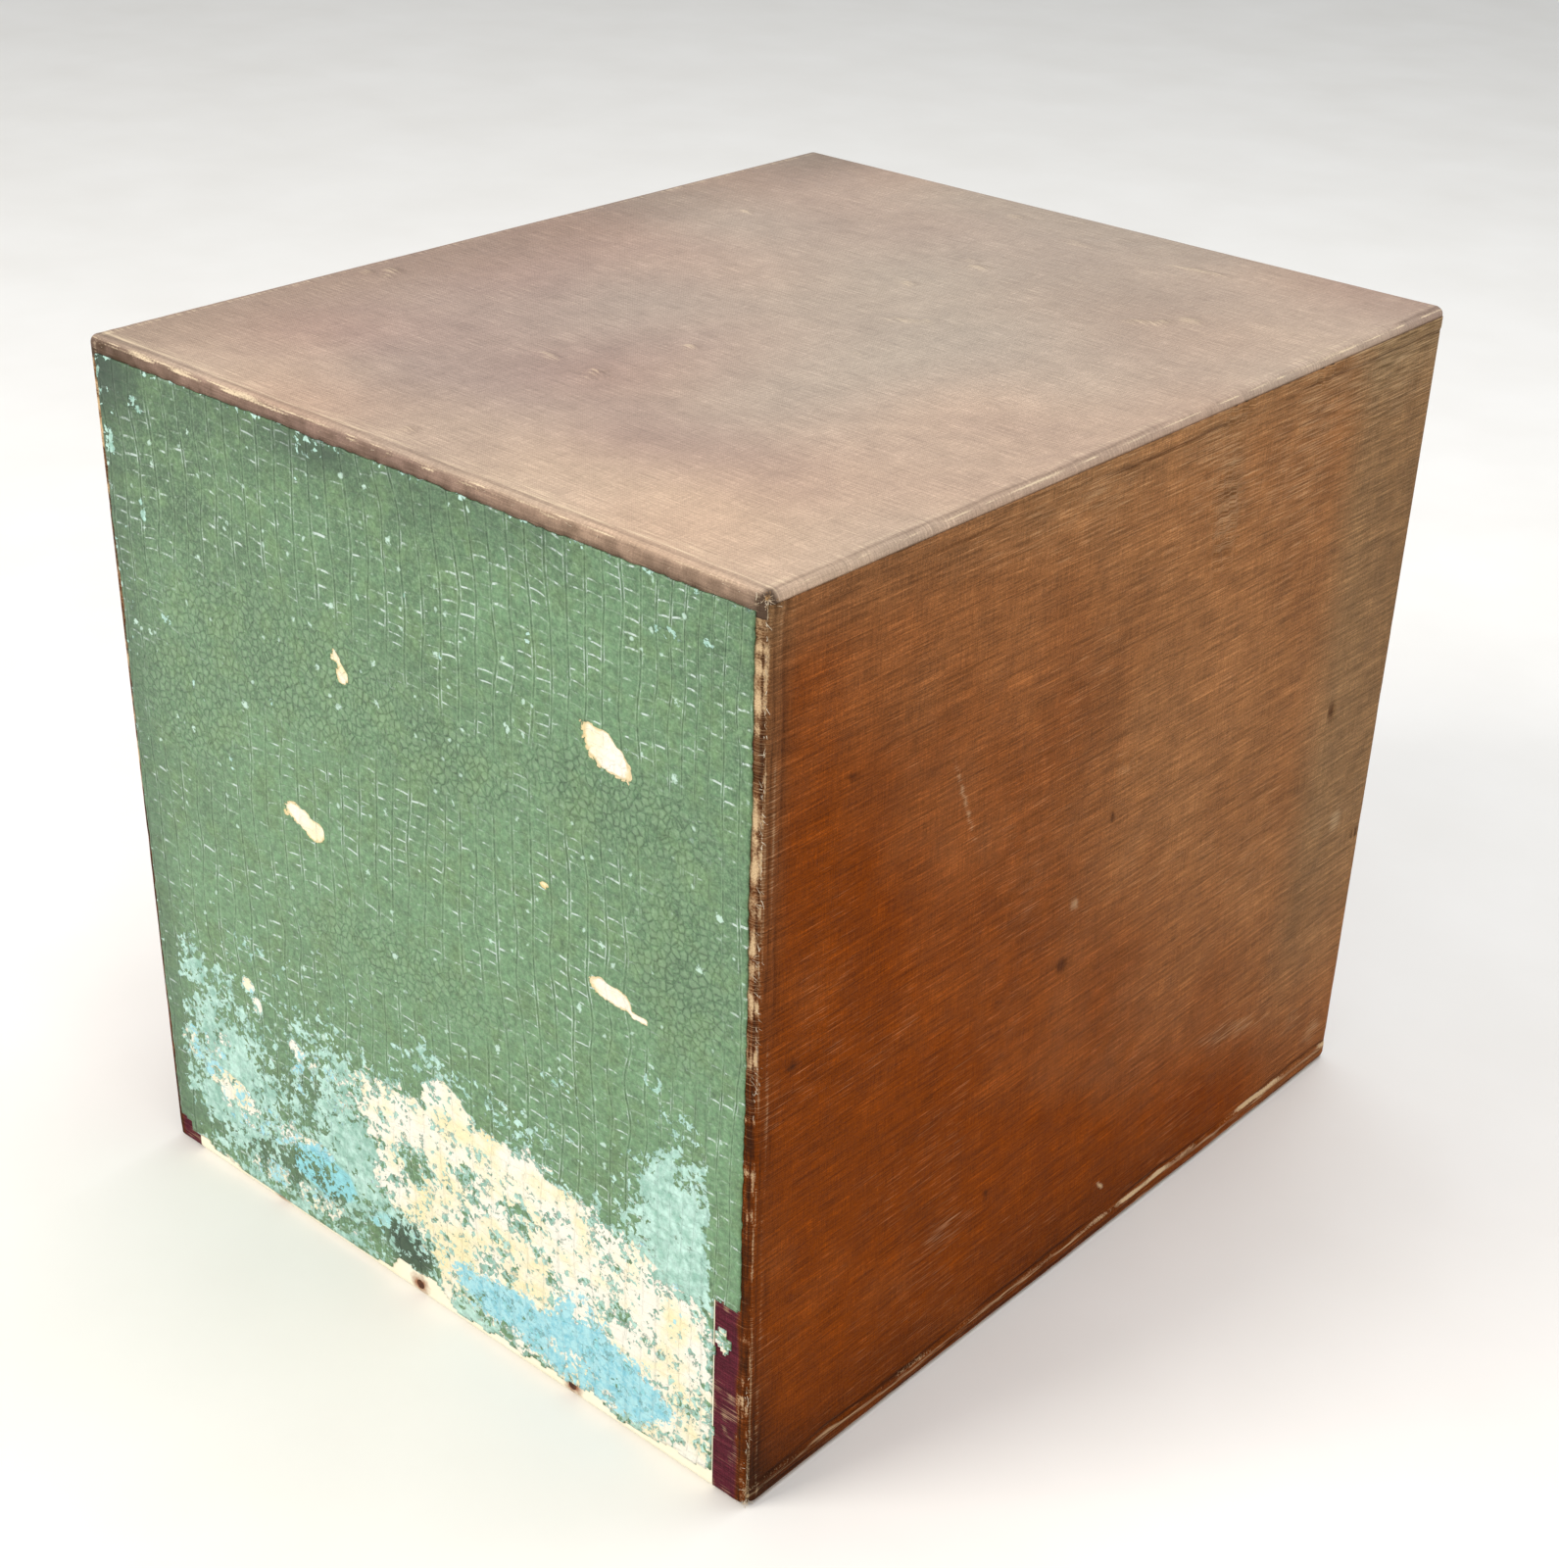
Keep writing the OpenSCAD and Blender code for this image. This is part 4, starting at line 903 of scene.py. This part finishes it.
# %% Where the green coat is worn off
def worn_coat(x, z, rag):
    """How far the coat has gone: 0 is sound, 0.5 is half gone in crumbs, 1 is gone."""
    line = 86 + 8 * hills(x, z * 0, 38, 78) + 5 * rag
    worn = -0.62 + 0.52 * (1 - ramp(z, 96, 165)) + 0.62 * (1 - ramp(z, line - 6, line + 20)) * ramp(
        x, -156, -132)
    worn += 0.20 * hills(x, z, 17, 89) * (1 - ramp(z, 110, 150)) + 0.16 * hills(x, z, 30, 93)
    worn += blots(x, z, 0.6, (
        ((128, 112), (15, 42), 0.95), ((120, 100), (26, 26), 0.45), ((71, 136), (9, 5), 0.72),
        ((10, 118), (20, 12), 0.45), ((60, 112), (28, 10), 0.3), ((-138, 96), (14, 10), 0.35),
        ((-118, 50), (34, 26), 0.30), ((-45, 66), (14, 26), 0.55), ((151, 336), (6, 6), 1.2),
        ((120, 320), (7, 3.4), 0.85), ((138, 322), (2.5, 1.5), 1.3), ((-46, 321), (3, 1.6), 1.2),
        ((21, 280), (3, 2.6), 1.15), ((-41, 334), (12, 5), 0.5), ((98, 263), (3, 5), 0.4),
        ((-34, 262), (3, 3), 0.6), ((-137, 284), (2.4, 5), 0.95), ((-86, 269), (1.6, 4), 0.95),
        ((-129, 245), (2.6, 2), 0.95), ((-97, 200), (1.8, 4.5), 0.95), ((-106, 239), (1.6, 3), 0.9),
        ((-152, 306), (3, 4), 0.95), ((-23, 208), (2.2, 1.4), 0.95), ((-140, 169), (3, 2.4), 0.85),
        ((-116, 222), (1.4, 5), 0.85), ((-133, 325), (5, 3), 0.9), ((-122, 196), (2, 3), 0.85),
        ((4, 296), (1.4, 2.6), 0.9), ((62, 300), (1.6, 3), 0.85), ((-70, 232), (1.2, 3), 0.8),
        ((-150, 300), (8, 40), 0.22), ((-150, 200), (7, 60), 0.22),
        ((-130, 250), (26, 50), 0.14), ((40, 230), (60, 60), 0.10), ((-60, 320), (100, 18), 0.12),
        ((-8, 22), (16, 15), -0.30), ((-86, 20), (40, 8), -0.25), ((-142, 18), (16, 9), -0.3),
        ((-82, 70), (20, 10), -0.30), ((-153, 60), (6, 60), -0.5), ((-110, 40), (44, 22), 0.22)))
    worn -= 0.9 * ramp(x, 141, 142.5) * ramp(z, 84, 90)
    worn += 0.62 * ramp(z, 335.5, 338) + 0.45 * (1 - ramp(x, -155.6, -153.5))
    return worn


# %% Where the sheet itself has gone
def missing_sheet(x, z, rag, fine):
    """How far the cream facing shows through the crumbs of the sheet, and the shapes of the tears."""
    bare = np.maximum.reduce([x * 0] + [high * spot(x, z, centre, radii, 0.30, *tilt)
                                        for centre, radii, high, *tilt in (
        ((52, 72), (102, 27), 1.80, -3), ((76, 44), (74, 44), 1.76), ((14, 52), (46, 40), 1.70),
        ((126, 34), (22, 52), 1.66), ((-118, 44), (17, 8), 1.60, -8), ((-142, 4), (26, 5), 1.55),
        ((-6, 3), (15, 10), 2.30), ((-100, 101), (4, 3), 1.8), ((-96, 93), (3, 4), 1.8),
        ((-74, 84), (5, 4), 1.5), ((-120, 66), (5, 4), 1.4), ((-64, 41), (12, 4), 1.7),
        ((12, 98), (14, 12), 1.75), ((8, 30), (6, 26), 1.7), ((-134, 56), (16, 10), 1.2),
        ((-62, 70), (20, 18), 1.28), ((-74, 14), (44, 8), 1.12), ((-96, 38), (34, 9), 1.1, 8))]) - 0.9
    bare += 0.20 * hills(x, z, 19, 90) + 0.12 * hills(x, z, 8, 91)
    bare += blots(x, z, 0.5, (
        ((-22, 20), (22, 15), -1.2), ((-60, 58), (13, 22), -0.4), ((-8, 62), (11, 7), -0.75, 35),
        ((50, 69), (9, 6), -0.62), ((104, 82), (24, 9), -0.38), ((20, 72), (9, 8), -0.3),
        ((134, 100), (18, 18), -0.8), ((38, 40), (14, 7), -0.25), ((110, 52), (16, 6), -0.3)))
    bare = np.where(z > 120, -0.9, bare)
    tears = np.zeros_like(x)
    for centre, radii, tilt in (
            ((96, 273), (12.5, 5.6), -33), ((99, 270.5), (7.4, 6.0), -20), ((-57.5, 189.5), (11, 4.3), -10),
            ((-52, 187.5), (7, 4.5), 0), ((97, 184), (9.5, 3.8), -6), ((107, 181), (6.5, 1.6), -12),
            ((-30, 256), (2.2, 3.6), 25), ((-33, 261), (1.4, 3.6), 25), ((67.5, 214), (3.0, 1.6), 8)):
        torn = spot(x + 1.6 * fine, z + 1.3 * rag + 0.7 * fine, centre, radii, 0.32, tilt)
        tears = np.maximum(tears, torn)
    return bare, tears


# %% Stains, painted shade and tone of the sheet
def stains(x, z, rag):
    """Where the worn places are blue, where grime spots and a painted shade along the left edge and
    the top darken the coat, and how light its green is, as a painted shading.
    """
    blue = -0.9 + blots(x + 3 * rag, z, 0.4, (
        ((76, 20), (50, 15), 1.7), ((80, 38), (14, 14), 1.5), ((34, 24), (26, 8), 1.2),
        ((104, 26), (18, 14), 0.8), ((-60, 30), (18, 9), 2.2),
        ((-22, 24), (18, 9), 1.2), ((-30, 6), (16, 6), 1.2), ((-100, 50), (70, 45), 0.8),
        ((126, 118), (19, 42), 1.0), ((132, 14), (10, 8), -0.6), ((46, 6), (20, 4), -0.9)))
    # Painted shade: darker along the left edge and in a band along the top; the spots are grime.
    grime = 0.12 + 0.4 * ramp(-x, 120, 158) + 0.35 * ramp(z, 300, 338) * (1 - ramp(x, 60, 140))
    grime += 0.7 * spot(x, z, (-12, 22), (14, 13), 0.5) + 0.4 * spot(x, z, (-85, 22), (50, 12), 0.5)
    grime += 0.22 * spot(x, z, (-38, 334), (16, 6), 0.6) + 0.3 * spot(x, z, (-60, 62), (30, 16), 0.6)
    # Painted shading: lighter toward the bottom and the middle, darker toward the top and both sides.
    tone = 0.25 + 0.55 * (1 - ramp(z, 110, 330)) + 0.30 * ramp(x, -150, 40) - 0.18 * ramp(x, 90, 156)
    tone += 0.2 * hills(x, z, 60, 79)
    return blue, np.clip(grime, 0, 1), tone


# %% Relief and outline of the sheet
def base_sheet():
    """The sheet as points at (x, front - lift, z), cut to its outline and closed at the back."""
    xs = np.arange(paper_low[0], paper_high[0] + 0.01, 1.2)
    zs = np.linspace(paper_low[2], paper_high[2], 280)
    x, z = np.meshgrid(xs, zs, indexing="ij")
    column, row, within, pebble = embossing(x, z)
    rag, fine = hills(x, z, 11, 76), hills(x, z, 4, 77)
    bare, tears = missing_sheet(x, z, rag, fine)
    worn = np.maximum(worn_coat(x, z, rag), bare + 0.38)
    bare = np.maximum(bare, -1.1 + 3.2 * tears)
    ring = np.hypot(x - 116, z - 159.5)
    worn = worn + 1.3 * np.exp(-((ring - 3.4) / 0.8) ** 2)
    blue, grime, tone = stains(x, z, rag)

    gone = ramp(bare + 0.35 * fine, 0.25, 0.75)
    coat = ramp(worn + 0.25 * fine, 0.3, 0.8)
    line_v = ramp(np.abs(within - 0.5), 0.40, 0.5) * (1 - pebble)
    line_h = ramp(np.abs(row - np.floor(row) - 0.5), 0.36, 0.5) * (1 - pebble)
    lift = 0.14 - 0.13 * np.maximum(line_v, 0.7 * line_h) + 0.05 * hills(x, z, 3.5, 80) * pebble
    lift += 0.22 * hills(x, z, 60, 81) + 0.05 * rag
    lift -= 0.05 * coat + 0.36 * gone
    border = ramp(tears, 0.02, 0.35) * (1 - ramp(tears, 0.4, 0.7))
    lift += 0.38 * border * (0.6 + 0.8 * fine)
    edge_lift = 1 - ramp(np.minimum(paper_high[2] - z, paper_high[0] - np.abs(x)), 0, 2.4)
    lift += 0.12 * edge_lift * (0.5 + hills(x, z, 9, 82))
    lift = np.clip(lift, -0.36, 1.2)
    ragged_top = (0.5 + 0.35 * hills(x, z * 0, 31, 94) + 0.3 * hills(x, z * 0, 2.4, 95)) * ramp(
        z, paper_high[2] - 9, paper_high[2])
    ragged_side = (0.5 + 0.4 * hills(z, x * 0, 27, 96) + 0.3 * hills(z, x * 0, 2.6, 97)) * ramp(
        np.abs(x), paper_high[0] - 8, paper_high[0])
    points = np.stack([x - np.sign(x) * ragged_side, paper_low[1] - lift, z - ragged_top], -1)
    normals = np.broadcast_to([0, -1.0, 0], points.shape)

    # The sheet ends short of the strips that lie bare: its foot, and the right strip low down.
    xc, zc = (x[:-1, :-1] + x[1:, 1:]) / 2, (z[:-1, :-1] + z[1:, 1:]) / 2
    foot = 6.5 + 2.0 * hills(xc, zc * 0, 21, 83) + 1.2 * hills(xc, zc * 0, 5, 84)
    foot += 7 * spot(xc, xc * 0, (-8, 0), (14, 1), 0.5) - 3 * spot(xc, xc * 0, (-66, 0), (50, 1), 0.5)
    keep = zc > foot
    strip = (xc > 144.3 + 0.4 * hills(zc, xc * 0, 7, 85)) & (zc < 85 + 1.5 * hills(xc, zc * 0, 4, 86))
    patch_left = spot(xc + 1.5 * hills(xc, zc, 3, 98), zc, (148.5, 69.5), (4.0, 5.5), 0.2, 25) > 0.62
    keep &= ~strip | patch_left
    keep &= ~((xc < -149 + 1.5 * hills(zc, xc * 0, 5, 87)) & (zc < 14 + 1.5 * hills(xc, zc * 0, 4, 88)))
    fields = {"column": column, "row": row, "pebble": pebble, "worn": worn, "bare": bare, "blue": blue,
              "tear": tears, "grime": grime, "tone": tone}
    piece = make_piece("base_paper_sheet", [{"points": points, "normals": normals, "keep": keep,
                                             "uv": np.stack([x, z], -1), "fields": fields}],
                       [green_paper], angle=60)
    close_back(piece, paper_high[1] / 1000)
    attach(piece, "box")
    return piece


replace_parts(base_sheet(), "base_paper")

# %% [markdown]
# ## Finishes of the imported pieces
# The boards, blocks and strips are thin softwood; the inside is lined with buff paper; the hinges,
# the ring and the turn button are rolled and drawn brass gone dull; the nails are iron and have
# rusted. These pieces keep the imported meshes, so their finishes read Object coordinates.

# %% Wood, facing and lining
def softwood():
    """Planed spruce: long grain, 3 mm rings of darker late wood, a little dirt."""
    wood, node = new_material("aged_softwood")
    place = node("TexCoord").outputs["Object"]
    along = node("Mapping", {"Vector": place, "Scale": (330.0, 9.0, 330.0)})
    rings = node("TexNoise", {"Vector": along, "Scale": 1.0, "Detail": 4.0, "Roughness": 0.55})
    fibre = node("Mapping", {"Vector": place, "Scale": (1600.0, 45.0, 1600.0)})
    fibre = node("TexNoise", {"Vector": fibre, "Scale": 1.0, "Detail": 3.0})
    dirt = node("TexNoise", {"Vector": place, "Scale": 30.0, "Detail": 5.0})
    colour = node("mix", rings, "#c79f68", "#8a5f35")
    dark = node("MapRange", {"Value": fibre, "From Min": 0.5, "From Max": 0.8, "To Max": 0.5})
    colour = node("mix", dark, colour, "#5d3d20")
    dark = node("MapRange", {"Value": dirt, "From Min": 0.5, "From Max": 0.8, "To Max": 0.5})
    colour = node("mix", dark, colour, "#4c3824")
    bump = node("Bump", {"Height": fibre, "Strength": 0.3, "Distance": 0.0003})
    return finish_material(wood, node("BsdfPrincipled", {
        "Base Color": colour, "Roughness": 0.72, "Normal": bump}))


def paper_stock(name, pale, deep, spot_colour, rust_at=()):
    """Uncoated paper: soft mottle, fine fibre, brown foxing, and rust round the named nail places."""
    stock, node = new_material(name)
    place = node("TexCoord").outputs["Object"]
    mottle = node("TexNoise", {"Vector": place, "Scale": 60.0, "Detail": 5.0, "Roughness": 0.65})
    fibre = node("TexNoise", {"Vector": place, "Scale": 900.0, "Detail": 3.0})
    colour = node("mix", mottle, pale, deep)
    fox = node("TexVoronoi", {"Vector": place, "Scale": 38.0})
    ragged = node("TexNoise", {"Vector": place, "Scale": 420.0, "Detail": 4.0})
    fox = node("*+", ragged, 0.34, fox.outputs["Distance"])
    fox = node("MapRange", fox, 0.2, 0.36, 0.34, 0.0)
    colour = node("mix", fox, colour, spot_colour)
    for centre in rust_at:
        gap = node("VectorMath DISTANCE", place, centre).outputs["Value"]
        gap = node("*+", ragged, -0.005, gap)
        halo = node("MapRange", gap, -0.0008, 0.0035, 0.9, 0.0)
        colour = node("mix", halo, colour, "#8a4a1c")
    bump = node("Bump", {"Height": fibre, "Strength": 0.25, "Distance": 0.0002})
    return finish_material(stock, node("BsdfPrincipled", {
        "Base Color": colour, "Roughness": 0.85, "Normal": bump, "Specular IOR Level": 0.3}))


nail_low, nail_high = box_mm("base_nails")
nail_z = (tall - (nail_high[2] - nail_low[2])) / 2 + 2.0
nail_places = [(x / 1000, front / 1000, nail_z / 1000) for x in (-91, -8, 75)]
wood = softwood()
facing = paper_stock("primed_facing", "#f4f0e2", "#efe4c2", "#d8c08c", nail_places)
lining = paper_stock("buff_lining_paper", "#c9b48c", "#b49c72", "#8c6a3c")

# %% Metals
def old_metal(name, bright, dull, grime, metallic, rough, grain=700.0):
    """Handled metal: bright where fingers reach, dull oxide in clouds, and grime in specks."""
    metal, node = new_material(name)
    place = node("TexCoord").outputs["Object"]
    cloud = node("TexNoise", {"Vector": place, "Scale": 180.0, "Detail": 5.0, "Roughness": 0.65})
    speck = node("TexNoise", {"Vector": place, "Scale": grain, "Detail": 4.0})
    mask = node("MapRange", cloud, 0.35, 0.65)
    colour = node("mix", mask, bright, dull)
    dots = node("MapRange", speck, 0.55, 0.75)
    colour = node("mix", dots, colour, grime)
    gloss = node("MapRange", cloud, 0.3, 0.7, rough, rough + 0.22)
    bump = node("Bump", {"Height": speck, "Strength": 0.25, "Distance": 0.00015})
    return finish_material(metal, node("BsdfPrincipled", {
        "Base Color": colour, "Roughness": gloss, "Metallic": metallic, "Normal": bump}))


brass = old_metal("dulled_brass", "#c9a45c", "#8a6a34", "#4b3a20", 1.0, 0.32)
screw_metal = old_metal("brass_screw", "#b8934e", "#7a5c2c", "#3f301c", 1.0, 0.36)
rust = old_metal("rusted_iron", "#6a4026", "#43261a", "#8a5328", 0.35, 0.7, 1500.0)

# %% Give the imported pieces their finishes
finish_of = {
    "board": wood, "corner_blocks": wood, "stop_top": wood, "stop_bottom": wood, "stop_left": wood,
    "stop_right": wood, "nails": rust, "stop_pins": rust, "base_facing": facing, "lining": lining,
    "lid_cloth": lid_cloth_finish, "hinge": brass, "screws": screw_metal, "button_screw": screw_metal,
    "button_washer": brass, "turn_button": brass, "pull_plate": brass, "plate_pins": screw_metal,
    "pull_ring": brass,
}
for node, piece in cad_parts.items():
    fitting = [key for key in finish_of if key in node]
    if not fitting:
        continue
    finish = finish_of[max(fitting, key=lambda key: (node.endswith(key), len(key)))]
    piece.data.materials.clear()
    piece.data.materials.append(finish)
print("bare nodes", [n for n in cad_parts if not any(key in n for key in finish_of)])
